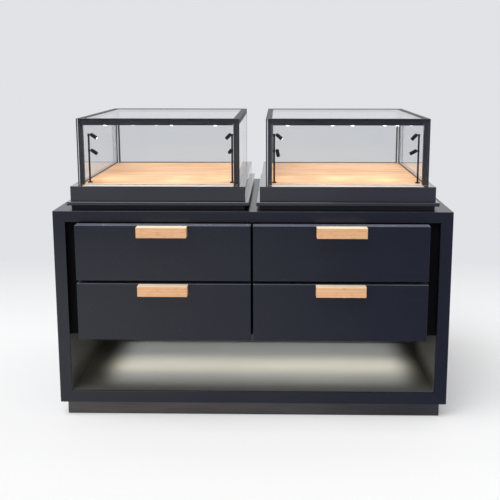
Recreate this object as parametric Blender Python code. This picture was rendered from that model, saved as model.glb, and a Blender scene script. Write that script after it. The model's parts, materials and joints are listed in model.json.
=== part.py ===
"""Jewellery display cabinet: a lacquered frame with four drawers, a lit niche and two glass vitrines on top.

Metres, +Z up, +X to the right, the drawers face -Y. The origin is on the floor, under the middle of the
overall box.
"""

from math import cos, pi, radians, sin

import bmesh
import bpy
from mathutils import Vector

# Fits
SEAT = 0.0003
MITRE_GAP = 0.0005
RUN_GAP = 0.0003
KICK_GAP = 0.0010
BOX_SIDE_GAP = 0.0008
CUT_PAST = 0.005

# Cabinet frame
CABINET_W = 1.200
CABINET_D = 0.710
FRAME_H = 0.606
SIDE_T = 0.037
TOP_T = 0.033
BOTTOM_T = 0.037
REAR_T = 0.016
REAR_INSET = 0.004

# Plinth
PLINTH_H = 0.045
PLINTH_INSET = 0.018
PLINTH_WALL = 0.018

# Niche
NICHE_H = 0.180
NICHE_D = 0.444
LINER_T = 0.002
LINER_SETBACK = 0.002
SHELF_T = 0.018
SHELF_SETBACK = 0.020
LED_STRIP_W = 0.016
LED_STRIP_H = 0.008
LED_STRIP_END = 0.003
LED_STRIP_SETBACK = 0.200
DRIVER_SIZE = Vector((0.160, 0.050, 0.032))

# Drawers
UPPER_FRONT_H = 0.168
FRONT_T = 0.035
FRONT_BACK_GAP = 0.0015
FRONT_TOP_GAP = 0.0035
FRONT_ROW_GAP = 0.0095
FRONT_MIDDLE_GAP = 0.007
FRONT_SIDE_RECESS = 0.037
FRONT_EDGE = 0.001
BOX_L = 0.500
BOX_WALL = 0.012
BOX_BASE_T = 0.008
BOX_DROP = 0.030
DIVIDER_T = 0.018
DIVIDER_SETBACK = 0.002
BOARD_LAP = 0.005
LEDGE_T = 0.010
LEDGE_W = 0.010
LEDGE_SHELF_GAP = 0.002
HANDLE_W = 0.148
HANDLE_D = 0.031
HANDLE_H = 0.031
HANDLE_EDGE = 0.0015

# Vitrine stands
VITRINE_SIDE_MARGIN = 0.0375
VITRINE_FRONT_MARGIN = 0.024
VITRINE_GAP = 0.023
FLANGE_T = 0.0115
FLANGE_LIP = 0.0105
FOOT_H = 0.012
FOOT_INSET = 0.0125
BASE_H = 0.046
DECK_T = 0.010
DECK_MARGIN = 0.001

# Glass hoods
HOOD_SIDE_MARGIN = 0.018
HOOD_FRONT_MARGIN = 0.0295
HOOD_H = 0.2015
GLASS_T = 0.006
RAIL_W = 0.012
RAIL_H = 0.016
REBATE_W = 0.006
POST_W = 0.012
LED_BAR_W = 0.008
LED_BAR_H = 0.004
LED_BAR_END = 0.002

# Spot lights
SPOT_SIDE = 0.025
SPOT_FRONT = 0.052
SPOT_DISC_R = 0.0075
SPOT_DISC_H = 0.003
SPOT_ROD_R = 0.0028
SPOT_COLLAR_R = 0.0035
SPOT_COLLAR_H = 0.007
SPOT_UPPER_Z = 0.1485
SPOT_LOWER_Z = 0.100
SPOT_HEAD_R = 0.0056
SPOT_HEAD_L = 0.020
SPOT_HEAD_EDGE = 0.0006
ROUND_STEPS = 16
BALL_STEPS = 4
SMOOTH_ANGLE = radians(35)
WELD = 1e-6

# Rest direction of each spot head: degrees about +Z from +X, then degrees below the horizon
SPOT_AIM = {
    ("left", "outer", "upper"): (0.0, 33.0),
    ("left", "outer", "lower"): (0.0, 33.0),
    ("left", "inner", "upper"): (140.0, 40.0),
    ("left", "inner", "lower"): (112.0, 25.0),
    ("right", "inner", "upper"): (0.0, 41.0),
    ("right", "inner", "lower"): (0.0, 78.0),
    ("right", "outer", "upper"): (180.0, 47.0),
    ("right", "outer", "lower"): (180.0, 28.0),
}

# Levels and planes that several pieces share
FRAME_Z = PLINTH_H + SEAT
TOP_Z = FRAME_Z + FRAME_H
FLOOR_Z = FRAME_Z + BOTTOM_T
SHELF_Z = FLOOR_Z + NICHE_H
SHELF_TOP = SHELF_Z + SHELF_T
CEILING_Z = TOP_Z - TOP_T
FRAME_Y = (FRONT_BACK_GAP + FRONT_T + SEAT + HANDLE_D - CABINET_D) / 2
FRAME_BACK = FRAME_Y + CABINET_D
REAR_Y = FRAME_BACK - REAR_INSET - REAR_T
INNER_X = CABINET_W / 2 - SIDE_T
FRONT_BACK_Y = FRAME_Y - FRONT_BACK_GAP
FRONT_FACE_Y = FRONT_BACK_Y - FRONT_T
FRONT_OUTER_X = INNER_X - FRONT_SIDE_RECESS
FRONT_INNER_X = FRONT_MIDDLE_GAP / 2
BOARD_X = FRONT_OUTER_X - BOARD_LAP
BOX_LIFT = SHELF_T + LEDGE_SHELF_GAP + LEDGE_T + RUN_GAP
BOX_INNER_X = DIVIDER_T / 2 + BOX_SIDE_GAP
BOX_OUTER_X = BOARD_X - BOX_SIDE_GAP

# Bottom and top of the drawer fronts in each row
UPPER_FRONT_TOP = CEILING_Z - FRONT_TOP_GAP
UPPER_FRONT_BOTTOM = UPPER_FRONT_TOP - UPPER_FRONT_H
ROWS = {
    "lower": (SHELF_Z, UPPER_FRONT_BOTTOM - FRONT_ROW_GAP),
    "upper": (UPPER_FRONT_BOTTOM, UPPER_FRONT_TOP),
}
SIDES = {"left": -1, "right": 1}


def clear_scene():
    """Remove every object, so that the part starts from an empty scene."""
    for obj in list(bpy.data.objects):
        bpy.data.objects.remove(obj, do_unlink=True)


def make_material(name, color, roughness, metallic=0.0, alpha=1.0, glow=0.0):
    """A Principled material with one colour."""
    material = bpy.data.materials.new(name)
    material.use_nodes = True
    shader = material.node_tree.nodes["Principled BSDF"]
    shader.inputs["Base Color"].default_value = (*color, 1.0)
    shader.inputs["Roughness"].default_value = roughness
    shader.inputs["Metallic"].default_value = metallic
    shader.inputs["Alpha"].default_value = alpha
    shader.inputs["Emission Color"].default_value = (*color, 1.0)
    shader.inputs["Emission Strength"].default_value = glow
    return material


def make_materials():
    """The finishes of the cabinet, by name."""
    return {
        "lacquer": make_material("lacquer", (0.045, 0.055, 0.068), 0.42),
        "inner_board": make_material("inner_board", (0.030, 0.032, 0.036), 0.6),
        "bronze": make_material("bronze", (0.075, 0.068, 0.062), 0.38, 1.0),
        "oak": make_material("oak", (0.46, 0.25, 0.12), 0.55),
        "anthracite": make_material("anthracite", (0.070, 0.072, 0.076), 0.35),
        "glass": make_material("glass", (0.90, 0.95, 0.94), 0.03, alpha=0.25),
        "black_steel": make_material("black_steel", (0.012, 0.012, 0.013), 0.4, 1.0),
        "led": make_material("led", (1.0, 0.86, 0.66), 0.4, glow=2.0),
        "grey_plastic": make_material("grey_plastic", (0.35, 0.36, 0.37), 0.5),
    }


def block_mesh(low, high):
    """A closed box between two opposite corners."""
    mesh = bmesh.new()
    bmesh.ops.create_cube(mesh, size=1.0)
    for vertex in mesh.verts:
        vertex.co = Vector([low[i] if vertex.co[i] < 0 else high[i] for i in range(3)])
    return mesh


def sink_pocket(mesh, low, high, depth):
    """Sink an open pocket into the top of a box, between two corners in plan."""
    floor = max(mesh.faces, key=lambda face: face.calc_center_median().z)
    bmesh.ops.inset_individual(mesh, faces=[floor], thickness=SEAT)
    middle = floor.calc_center_median()
    for vertex in floor.verts:
        vertex.co.x = low[0] if vertex.co.x < middle.x else high[0]
        vertex.co.y = low[1] if vertex.co.y < middle.y else high[1]
    sunk = bmesh.ops.extrude_discrete_faces(mesh, faces=[floor])["faces"][0]
    bmesh.ops.translate(mesh, verts=sunk.verts, vec=(0, 0, -depth))
    return mesh


def prism_mesh(outline, front, back):
    """An outline of (x, z) points carried along Y from front to back."""
    mesh = bmesh.new()
    face = mesh.faces.new([mesh.verts.new((x, front, z)) for x, z in outline])
    carried = bmesh.ops.extrude_face_region(mesh, geom=[face])["geom"]
    moved = [item for item in carried if isinstance(item, bmesh.types.BMVert)]
    bmesh.ops.translate(mesh, verts=moved, vec=(0, back - front, 0))
    bmesh.ops.recalc_face_normals(mesh, faces=mesh.faces)
    return mesh


def turned_mesh(profile):
    """A profile of (radius, z) points, from the axis to the axis, turned about Z."""
    mesh = bmesh.new()
    points = [mesh.verts.new((radius, 0, z)) for radius, z in profile]
    edges = [mesh.edges.new(pair) for pair in zip(points, points[1:])]
    turn = {"cent": (0, 0, 0), "axis": (0, 0, 1), "angle": 2 * pi, "steps": ROUND_STEPS}
    bmesh.ops.spin(mesh, geom=points + edges, use_merge=True, **turn)
    bmesh.ops.remove_doubles(mesh, verts=mesh.verts, dist=WELD)
    bmesh.ops.recalc_face_normals(mesh, faces=mesh.faces)
    return mesh


def add_piece(name, mesh, material, parent=None, origin=(0, 0, 0), smooth=False):
    """Make an object of a mesh given in world places, with its origin at the given point."""
    bmesh.ops.translate(mesh, verts=mesh.verts, vec=-Vector(origin))
    data = bpy.data.meshes.new(name)
    mesh.to_mesh(data)
    mesh.free()
    data.materials.append(material)
    if smooth:
        data.shade_smooth()
        data.set_sharp_from_angle(angle=SMOOTH_ANGLE)
    piece = bpy.data.objects.new(name, data)
    bpy.context.scene.collection.objects.link(piece)
    piece.location = Vector(origin)
    if parent:
        piece.parent = parent
        piece.location -= parent.location
    return piece


def add_block(name, low, high, material, parent=None):
    """A plain box, with its origin at its middle."""
    return add_piece(name, block_mesh(low, high), material, parent, (Vector(low) + Vector(high)) / 2)


def add_guide(name, place):
    """An empty that a moving group hangs on."""
    guide = bpy.data.objects.new(name, None)
    guide.location = place
    bpy.context.scene.collection.objects.link(guide)
    return guide


def cut(piece, name, low, high):
    """Take a box out of a piece."""
    data = bpy.data.meshes.new(name)
    mesh = block_mesh(low, high)
    mesh.to_mesh(data)
    mesh.free()
    cutter = bpy.data.objects.new(name, data)
    cutter.hide_render = True
    cutter.display_type = "WIRE"
    bpy.context.scene.collection.objects.link(cutter)
    modifier = piece.modifiers.new(name, "BOOLEAN")
    modifier.operation = "DIFFERENCE"
    modifier.solver = "EXACT"
    modifier.object = cutter


def ease_edges(piece, width, segments=1):
    """Take the sharpness off a box's edges."""
    bevel = piece.modifiers.new("eased edges", "BEVEL")
    bevel.width = width
    bevel.segments = segments


def mirrored(outline, side):
    """An outline drawn for the right side, on the side asked for."""
    return [(side * x, z) for x, z in outline]


def build_plinth(finish):
    """The recessed metal ring that the cabinet stands on."""
    outer_x = CABINET_W / 2 - PLINTH_INSET
    low = Vector((-outer_x, FRAME_Y + PLINTH_INSET, 0))
    high = Vector((outer_x, FRAME_BACK - PLINTH_INSET, PLINTH_H))
    plinth = add_block("plinth", low, high, finish["bronze"])
    wall = Vector((PLINTH_WALL, PLINTH_WALL, -CUT_PAST))
    cut(plinth, "cut_plinth", low + wall, high - wall)


def build_frame(finish):
    """The four mitred panels of the frame and the panel that closes its back."""
    half = CABINET_W / 2
    panels = {
        "top_panel": [(half, TOP_Z), (INNER_X, CEILING_Z), (-INNER_X, CEILING_Z), (-half, TOP_Z)],
        "bottom_panel": [(half, FRAME_Z), (INNER_X, FLOOR_Z), (-INNER_X, FLOOR_Z), (-half, FRAME_Z)],
    }
    side_panel = [
        (half, TOP_Z - MITRE_GAP),
        (INNER_X, CEILING_Z - MITRE_GAP),
        (INNER_X, FLOOR_Z + MITRE_GAP),
        (half, FRAME_Z + MITRE_GAP),
    ]
    for name, side in SIDES.items():
        panels[f"{name}_side_panel"] = mirrored(side_panel, side)
    for name, outline in panels.items():
        add_piece(name, prism_mesh(outline, FRAME_Y, FRAME_BACK), finish["lacquer"])
    add_block(
        "rear_panel",
        (-INNER_X + SEAT, REAR_Y, FLOOR_Z + SEAT),
        (INNER_X - SEAT, REAR_Y + REAR_T, CEILING_Z - SEAT),
        finish["lacquer"],
    )


def build_niche(finish):
    """The shelf under the drawers, the folded liner of the niche, its light and the light's driver."""
    add_block(
        "drawer_shelf",
        (-INNER_X + SEAT, FRAME_Y + SHELF_SETBACK, SHELF_Z),
        (INNER_X - SEAT, REAR_Y - SEAT, SHELF_TOP),
        finish["inner_board"],
    )
    low = Vector((-INNER_X + SEAT, FRAME_Y + LINER_SETBACK, FLOOR_Z + SEAT))
    high = Vector((INNER_X - SEAT, FRAME_Y + NICHE_D + LINER_T, SHELF_Z - SEAT))
    liner = add_block("niche_liner", low, high, finish["bronze"])
    hollow_low = low + Vector((LINER_T, -CUT_PAST, LINER_T))
    hollow_high = high + Vector((-LINER_T, -LINER_T, CUT_PAST))
    cut(liner, "cut_niche_liner", hollow_low, hollow_high)
    strip_x = INNER_X - LED_STRIP_END
    strip_y = FRAME_Y + LED_STRIP_SETBACK
    add_block(
        "niche_led_strip",
        (-strip_x, strip_y, SHELF_Z - SEAT - LED_STRIP_H),
        (strip_x, strip_y + LED_STRIP_W, SHELF_Z - SEAT),
        finish["led"],
    )
    driver_y = (FRAME_Y + NICHE_D + LINER_T + REAR_Y) / 2
    middle = Vector((0, driver_y, FLOOR_Z + SEAT + DRIVER_SIZE.z / 2))
    add_block("led_driver", middle - DRIVER_SIZE / 2, middle + DRIVER_SIZE / 2, finish["grey_plastic"])


def box_levels(row):
    """Bottom and top of the drawer box in a row."""
    bottom, top = ROWS[row]
    return bottom + BOX_LIFT, top - BOX_DROP


def ribbed_edge(face_x, rib_x):
    """The running side of a board, going up: a ledge under each drawer box and a kicker over it."""
    edge = [(face_x, SHELF_TOP + SEAT)]
    for row in ROWS:
        bottom, top = box_levels(row)
        for rib_top in (bottom - RUN_GAP, top + KICK_GAP + LEDGE_T):
            rib_bottom = rib_top - LEDGE_T
            edge += [(face_x, rib_bottom), (rib_x, rib_bottom), (rib_x, rib_top), (face_x, rib_top)]
    return edge + [(face_x, CEILING_Z - SEAT)]


def build_runners(finish):
    """The boards beside and between the drawers, with the ledges that the drawers run on."""
    outer_x = INNER_X - SEAT
    board = ribbed_edge(BOARD_X, BOARD_X - LEDGE_W)
    board += [(outer_x, CEILING_Z - SEAT), (outer_x, SHELF_TOP + SEAT)]
    for name, side in SIDES.items():
        mesh = prism_mesh(mirrored(board, side), FRAME_Y + SHELF_SETBACK, REAR_Y - SEAT)
        add_piece(f"{name}_runner_board", mesh, finish["inner_board"])
    right_edge = ribbed_edge(DIVIDER_T / 2, DIVIDER_T / 2 + LEDGE_W)
    left_edge = mirrored(right_edge, -1)
    mesh = prism_mesh(right_edge + left_edge[::-1], FRAME_Y + DIVIDER_SETBACK, REAR_Y - SEAT)
    add_piece("drawer_divider", mesh, finish["inner_board"])


def build_drawer(row, name, side, finish):
    """One drawer: front, handle and box, hung on a guide at the middle of the front's back face."""
    bottom, top = ROWS[row]
    left_x, right_x = sorted((side * FRONT_INNER_X, side * FRONT_OUTER_X))
    middle_x = (left_x + right_x) / 2
    guide = add_guide(f"{row}_{name}_drawer", (middle_x, FRONT_BACK_Y, (bottom + top) / 2))
    front = add_block(
        f"{row}_{name}_drawer_front",
        (left_x, FRONT_FACE_Y, bottom),
        (right_x, FRONT_BACK_Y, top),
        finish["lacquer"],
        guide,
    )
    ease_edges(front, FRONT_EDGE)
    handle = add_block(
        f"{row}_{name}_drawer_handle",
        (middle_x - HANDLE_W / 2, FRONT_FACE_Y - SEAT - HANDLE_D, top - HANDLE_H),
        (middle_x + HANDLE_W / 2, FRONT_FACE_Y - SEAT, top),
        finish["oak"],
        guide,
    )
    ease_edges(handle, HANDLE_EDGE, 2)
    box_bottom, box_top = box_levels(row)
    box_left, box_right = sorted((side * BOX_INNER_X, side * BOX_OUTER_X))
    low = Vector((box_left, FRONT_BACK_Y + SEAT, box_bottom))
    high = Vector((box_right, FRONT_BACK_Y + SEAT + BOX_L, box_top))
    wall = Vector((BOX_WALL, BOX_WALL, 0))
    mesh = sink_pocket(block_mesh(low, high), low + wall, high - wall, box_top - box_bottom - BOX_BASE_T)
    add_piece(f"{row}_{name}_drawer_box", mesh, finish["oak"], guide, (low + high) / 2)


class VitrinePlan:
    """The nested outlines of one vitrine, each as its low and high corner in plan, and its levels."""

    def __init__(self, side):
        inner = VITRINE_GAP / 2
        outer = CABINET_W / 2 - VITRINE_SIDE_MARGIN
        left, right = sorted((side * inner, side * outer))
        front = FRAME_Y + VITRINE_FRONT_MARGIN
        self.flange = (Vector((left, front)), Vector((right, FRAME_BACK - VITRINE_FRONT_MARGIN)))
        self.foot = self.inset(self.flange, FOOT_INSET, FOOT_INSET)
        self.base = self.inset(self.flange, FLANGE_LIP, FLANGE_LIP)
        self.hood = self.inset(self.base, HOOD_SIDE_MARGIN, HOOD_FRONT_MARGIN)
        self.frame = self.inset(self.hood, GLASS_T + SEAT, GLASS_T + SEAT)
        self.deck = self.inset(self.hood, DECK_MARGIN, DECK_MARGIN)
        self.foot_z = TOP_Z + SEAT
        self.flange_z = self.foot_z + FOOT_H + SEAT
        self.base_z = self.flange_z + FLANGE_T + SEAT
        self.base_top = self.base_z + BASE_H
        self.hood_z = self.base_top + SEAT
        self.hood_top = self.hood_z + HOOD_H

    @staticmethod
    def inset(plan, by_x, by_y):
        """An outline drawn in from another on all four sides."""
        by = Vector((by_x, by_y))
        return plan[0] + by, plan[1] - by

    @staticmethod
    def corners(plan, low_z, high_z):
        """The low and high corner of a box on an outline."""
        return Vector((*plan[0], low_z)), Vector((*plan[1], high_z))


def build_stand(name, plan, finish):
    """The foot, flange and base of a vitrine, and the oak deck let into the base."""
    foot_low, foot_high = plan.corners(plan.foot, plan.foot_z, plan.foot_z + FOOT_H)
    add_block(f"{name}_vitrine_foot", foot_low, foot_high, finish["anthracite"])
    flange_low, flange_high = plan.corners(plan.flange, plan.flange_z, plan.flange_z + FLANGE_T)
    add_block(f"{name}_vitrine_flange", flange_low, flange_high, finish["anthracite"])
    low, high = plan.corners(plan.base, plan.base_z, plan.base_top)
    mesh = sink_pocket(block_mesh(low, high), *plan.deck, DECK_T + SEAT)
    add_piece(f"{name}_vitrine_base", mesh, finish["anthracite"], None, (low + high) / 2)
    deck = plan.inset(plan.deck, SEAT, SEAT)
    deck_low, deck_high = plan.corners(deck, plan.base_top - DECK_T, plan.base_top)
    add_block(f"{name}_vitrine_deck", deck_low, deck_high, finish["oak"])


def build_hood(name, plan, finish):
    """The glass hood: a black frame of four posts and a top ring, five panes and an LED bar."""
    low, high = plan.corners(plan.hood, plan.hood_z, plan.hood_top)
    guide = add_guide(f"{name}_hood", ((low.x + high.x) / 2, (low.y + high.y) / 2, plan.hood_z))
    panes = {
        "left_pane": (low, (low.x + GLASS_T, high.y, high.z)),
        "right_pane": ((high.x - GLASS_T, low.y, low.z), high),
    }
    between_x = (low.x + GLASS_T + SEAT, high.x - GLASS_T - SEAT)
    panes["front_pane"] = ((between_x[0], low.y, low.z), (between_x[1], low.y + GLASS_T, high.z))
    panes["back_pane"] = ((between_x[0], high.y - GLASS_T, low.z), (between_x[1], high.y, high.z))
    rebate = plan.inset(plan.frame, REBATE_W, REBATE_W)
    rebate_z = plan.hood_top - GLASS_T - SEAT
    panes["top_pane"] = plan.corners(plan.inset(rebate, SEAT, SEAT), plan.hood_top - GLASS_T, plan.hood_top)
    for pane, corners in panes.items():
        add_block(f"{name}_hood_{pane}", *corners, finish["glass"], guide)

    frame_low, frame_high = plan.corners(plan.frame, plan.hood_z, plan.hood_top)
    frame = add_block(f"{name}_hood_frame", frame_low, frame_high, finish["black_steel"], guide)
    rail_z = plan.hood_top - RAIL_H
    ring = plan.inset(plan.frame, RAIL_W, RAIL_W)
    cut(frame, f"cut_{name}_hood_ring", *plan.corners(ring, low.z - CUT_PAST, high.z + CUT_PAST))
    cut(frame, f"cut_{name}_hood_rebate", *plan.corners(rebate, rebate_z, high.z + CUT_PAST))
    across = plan.inset(plan.frame, -CUT_PAST, POST_W)
    cut(frame, f"cut_{name}_hood_sides", *plan.corners(across, low.z - CUT_PAST, rail_z))
    along = plan.inset(plan.frame, POST_W, -CUT_PAST)
    cut(frame, f"cut_{name}_hood_front", *plan.corners(along, low.z - CUT_PAST, rail_z))

    bar_x = POST_W + LED_BAR_END
    bar_y = frame_low.y + (RAIL_W - LED_BAR_W) / 2
    add_block(
        f"{name}_hood_led_bar",
        (frame_low.x + bar_x, bar_y, rail_z - SEAT - LED_BAR_H),
        (frame_high.x - bar_x, bar_y + LED_BAR_W, rail_z - SEAT),
        finish["led"],
        guide,
    )


def spot_post_profile():
    """Half outline of a spot post: foot disc, thin rod and a collar at each head."""
    profile = [(0, 0), (SPOT_DISC_R, 0), (SPOT_DISC_R, SPOT_DISC_H), (SPOT_ROD_R, SPOT_DISC_H)]
    for level in (SPOT_LOWER_Z, SPOT_UPPER_Z):
        collar_bottom = level - SPOT_COLLAR_H / 2
        collar_top = level + SPOT_COLLAR_H / 2
        profile += [(SPOT_ROD_R, collar_bottom), (SPOT_COLLAR_R, collar_bottom), (SPOT_COLLAR_R, collar_top)]
        profile.append((SPOT_ROD_R if level == SPOT_LOWER_Z else 0, collar_top))
    return profile


def spot_head_profile():
    """Half outline of a spot head along +Z: a ball end round the pivot, a barrel and a flat lens end."""
    angles = [pi / 2 * step / BALL_STEPS for step in range(BALL_STEPS + 1)]
    profile = [(SPOT_HEAD_R * sin(angle), -SPOT_HEAD_R * cos(angle)) for angle in angles]
    profile += [(SPOT_HEAD_R, SPOT_HEAD_L - SPOT_HEAD_EDGE), (SPOT_HEAD_R - SPOT_HEAD_EDGE, SPOT_HEAD_L)]
    return profile + [(0, SPOT_HEAD_L)]


def build_spots(name, side, plan, finish):
    """Two light posts at the front corners of the deck, each with two heads that tilt on its collars."""
    left, right = plan.hood[0].x + SPOT_SIDE, plan.hood[1].x - SPOT_SIDE
    places = {"outer": left if side < 0 else right, "inner": right if side < 0 else left}
    post_y = plan.hood[0].y + SPOT_FRONT
    reach = SPOT_COLLAR_R + RUN_GAP + SPOT_HEAD_R
    for place, post_x in places.items():
        foot = Vector((post_x, post_y, plan.base_top + SEAT))
        post = add_piece(
            f"{name}_{place}_spot_post", turned_mesh(spot_post_profile()), finish["black_steel"], smooth=True
        )
        post.location = foot
        for level, height in (("upper", SPOT_UPPER_Z), ("lower", SPOT_LOWER_Z)):
            turn, dip = (radians(angle) for angle in SPOT_AIM[name, place, level])
            away = Vector((cos(turn), sin(turn), 0))
            head = add_piece(
                f"{name}_{place}_{level}_spot_head",
                turned_mesh(spot_head_profile()),
                finish["black_steel"],
                smooth=True,
            )
            head.location = foot + Vector((0, 0, height)) + away * reach
            aim = away * cos(dip) - Vector((0, 0, sin(dip)))
            head.rotation_euler = aim.to_track_quat("Z", "Y").to_euler()


def main():
    """Build the whole cabinet."""
    clear_scene()
    finish = make_materials()
    build_plinth(finish)
    build_frame(finish)
    build_niche(finish)
    build_runners(finish)
    for row in ROWS:
        for name, side in SIDES.items():
            build_drawer(row, name, side, finish)
    for name, side in SIDES.items():
        plan = VitrinePlan(side)
        build_stand(name, plan, finish)
        build_hood(name, plan, finish)
        build_spots(name, side, plan, finish)


main()
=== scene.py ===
"""Looks of the jewellery display cabinet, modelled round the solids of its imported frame.

Metres, +Z up, +X to the right, the drawers face -Y. Each sub-assembly is a class that takes its places from
the boxes of the frame's nodes, models finer pieces over them and hangs those pieces on the frame's bodies.
"""

import json
import logging
from contextlib import contextmanager
from dataclasses import dataclass
from enum import Enum
from math import cos, pi, radians, sin
from typing import Callable, Iterator, Optional, Sequence, Union

import bmesh
import bpy
from mathutils import Euler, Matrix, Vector


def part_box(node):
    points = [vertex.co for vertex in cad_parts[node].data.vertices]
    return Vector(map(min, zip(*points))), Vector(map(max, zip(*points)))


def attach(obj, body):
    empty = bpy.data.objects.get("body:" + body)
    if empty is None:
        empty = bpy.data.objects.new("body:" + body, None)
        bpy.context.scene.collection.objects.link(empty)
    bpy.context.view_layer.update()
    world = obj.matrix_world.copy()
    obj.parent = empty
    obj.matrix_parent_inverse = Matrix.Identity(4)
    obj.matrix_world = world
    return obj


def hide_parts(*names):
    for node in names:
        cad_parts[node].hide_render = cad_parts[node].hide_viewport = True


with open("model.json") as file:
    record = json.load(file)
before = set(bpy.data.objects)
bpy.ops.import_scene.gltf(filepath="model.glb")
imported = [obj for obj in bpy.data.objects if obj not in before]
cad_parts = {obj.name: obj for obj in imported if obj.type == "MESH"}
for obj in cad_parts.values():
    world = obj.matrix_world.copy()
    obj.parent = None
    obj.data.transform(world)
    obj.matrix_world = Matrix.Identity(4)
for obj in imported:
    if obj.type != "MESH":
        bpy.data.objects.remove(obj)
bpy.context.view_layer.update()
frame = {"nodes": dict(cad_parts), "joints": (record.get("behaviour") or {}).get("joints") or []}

LOG = logging.getLogger("cabinet")
MM = 0.001
WELD = 0.001 * MM
SHARP_ANGLE = radians(30)
FLAT_ANGLE = radians(0.5)
ALIGNED = 0.99
BACK, FRONT = Vector((0, 1, 0)), Vector((0, -1, 0))
UP, DOWN = Vector((0, 0, 1)), Vector((0, 0, -1))

Piece = bpy.types.Object
Node = bpy.types.Node
Socket = bpy.types.NodeSocket
Sockets = bpy.types.NodeOutputs
Numbers = Sequence[float]
Wire = Union[Socket, float, Numbers]
Wires = dict[Union[str, int], Wire]
Colour = tuple[float, float, float]
Ends = Optional[tuple[float, float]]
Profile = list[tuple[float, float]]
Part = Union[bmesh.types.BMFace, bmesh.types.BMEdge]
Test = Callable[[Part], bool]


class Side(Enum):
    """The left and right half of the cabinet, as the viewer sees it."""

    LEFT = "left"
    RIGHT = "right"


class Level(Enum):
    """The upper and lower row of drawers, or spot head of a light post."""

    UPPER = "upper"
    LOWER = "lower"


class Corner(Enum):
    """The two light posts of a vitrine: at the cabinet's end or at its middle."""

    OUTER = "outer"
    INNER = "inner"


class Pane(Enum):
    """The five panes of a hood."""

    FRONT = "front"
    BACK = "back"
    LEFT = "left"
    RIGHT = "right"
    TOP = "top"


class Glow(Enum):
    """How a lens of a light bar shines towards the viewer."""

    LIT = "lit"
    FAINT = "faint"


class Pick(Enum):
    """What is picked in edit mode, with the name of its list in a mesh."""

    FACE = "faces"
    EDGE = "edges"


class Axis(Enum):
    """A direction that cuts are square to and edges run along."""

    X = (1, 0, 0)
    Y = (0, 1, 0)
    Z = (0, 0, 1)

    @property
    def vector(self) -> Vector:
        """The direction as a vector."""
        return Vector(self.value)


@dataclass(frozen=True)
class Span:
    """A box, by its lowest and highest corner."""

    low: Vector
    high: Vector

    @classmethod
    def of(cls, node: str) -> "Span":
        """The box that a node of the frame fills at rest."""
        return cls(*(Vector(corner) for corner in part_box(node)))

    @property
    def middle(self) -> Vector:
        """The middle of the box."""
        return (self.low + self.high) / 2

    @property
    def size(self) -> Vector:
        """The edges of the box."""
        return self.high - self.low

    def between(self, x: Ends = None, y: Ends = None, z: Ends = None) -> "Span":
        """The box with other ends along the axes that are given."""
        ends = [given or own for given, own in zip((x, y, z), zip(self.low, self.high))]
        return Span(*(Vector(corner) for corner in zip(*ends)))

    def drawn_in(self, margin: float) -> "Span":
        """The box drawn in at its four sides, but not at its top and bottom."""
        inset = Vector((margin, margin, 0))
        return Span(self.low + inset, self.high - inset)

    def corner(self, x: int, z: int) -> Vector:
        """A corner of the box in the front view, by its signs along X and Z."""
        return Vector((self.high.x if x > 0 else self.low.x, 0, self.high.z if z > 0 else self.low.z))

    def covers(self, point: Vector) -> bool:
        """Whether a point lies inside the box, seen from above."""
        return self.low.x < point.x < self.high.x and self.low.y < point.y < self.high.y

    def misses(self, point: Vector) -> bool:
        """Whether a point lies past the box both ways, seen from above."""
        return not (self.low.x < point.x < self.high.x or self.low.y < point.y < self.high.y)


def every(part: Union[Part, Vector]) -> bool:
    """A test that all faces, edges or points pass."""
    return True


def looks(*ways: Vector, where: Callable[[Vector], bool] = every) -> Test:
    """A test for faces that look one of the given ways and whose middle passes a test of its own."""
    return lambda face: (
        any(face.normal.dot(way) > ALIGNED for way in ways) and where(face.calc_center_median())
    )


def run_of(edge: bmesh.types.BMEdge) -> Vector:
    """The direction of an edge."""
    return (edge.verts[1].co - edge.verts[0].co).normalized()


def runs(*axes: Axis) -> Test:
    """A test for edges that run along one of the given axes."""
    return lambda edge: any(abs(run_of(edge).dot(axis.vector)) > ALIGNED for axis in axes)


def middle_of(edge: bmesh.types.BMEdge) -> Vector:
    """The middle of an edge."""
    return (edge.verts[0].co + edge.verts[1].co) / 2


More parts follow.
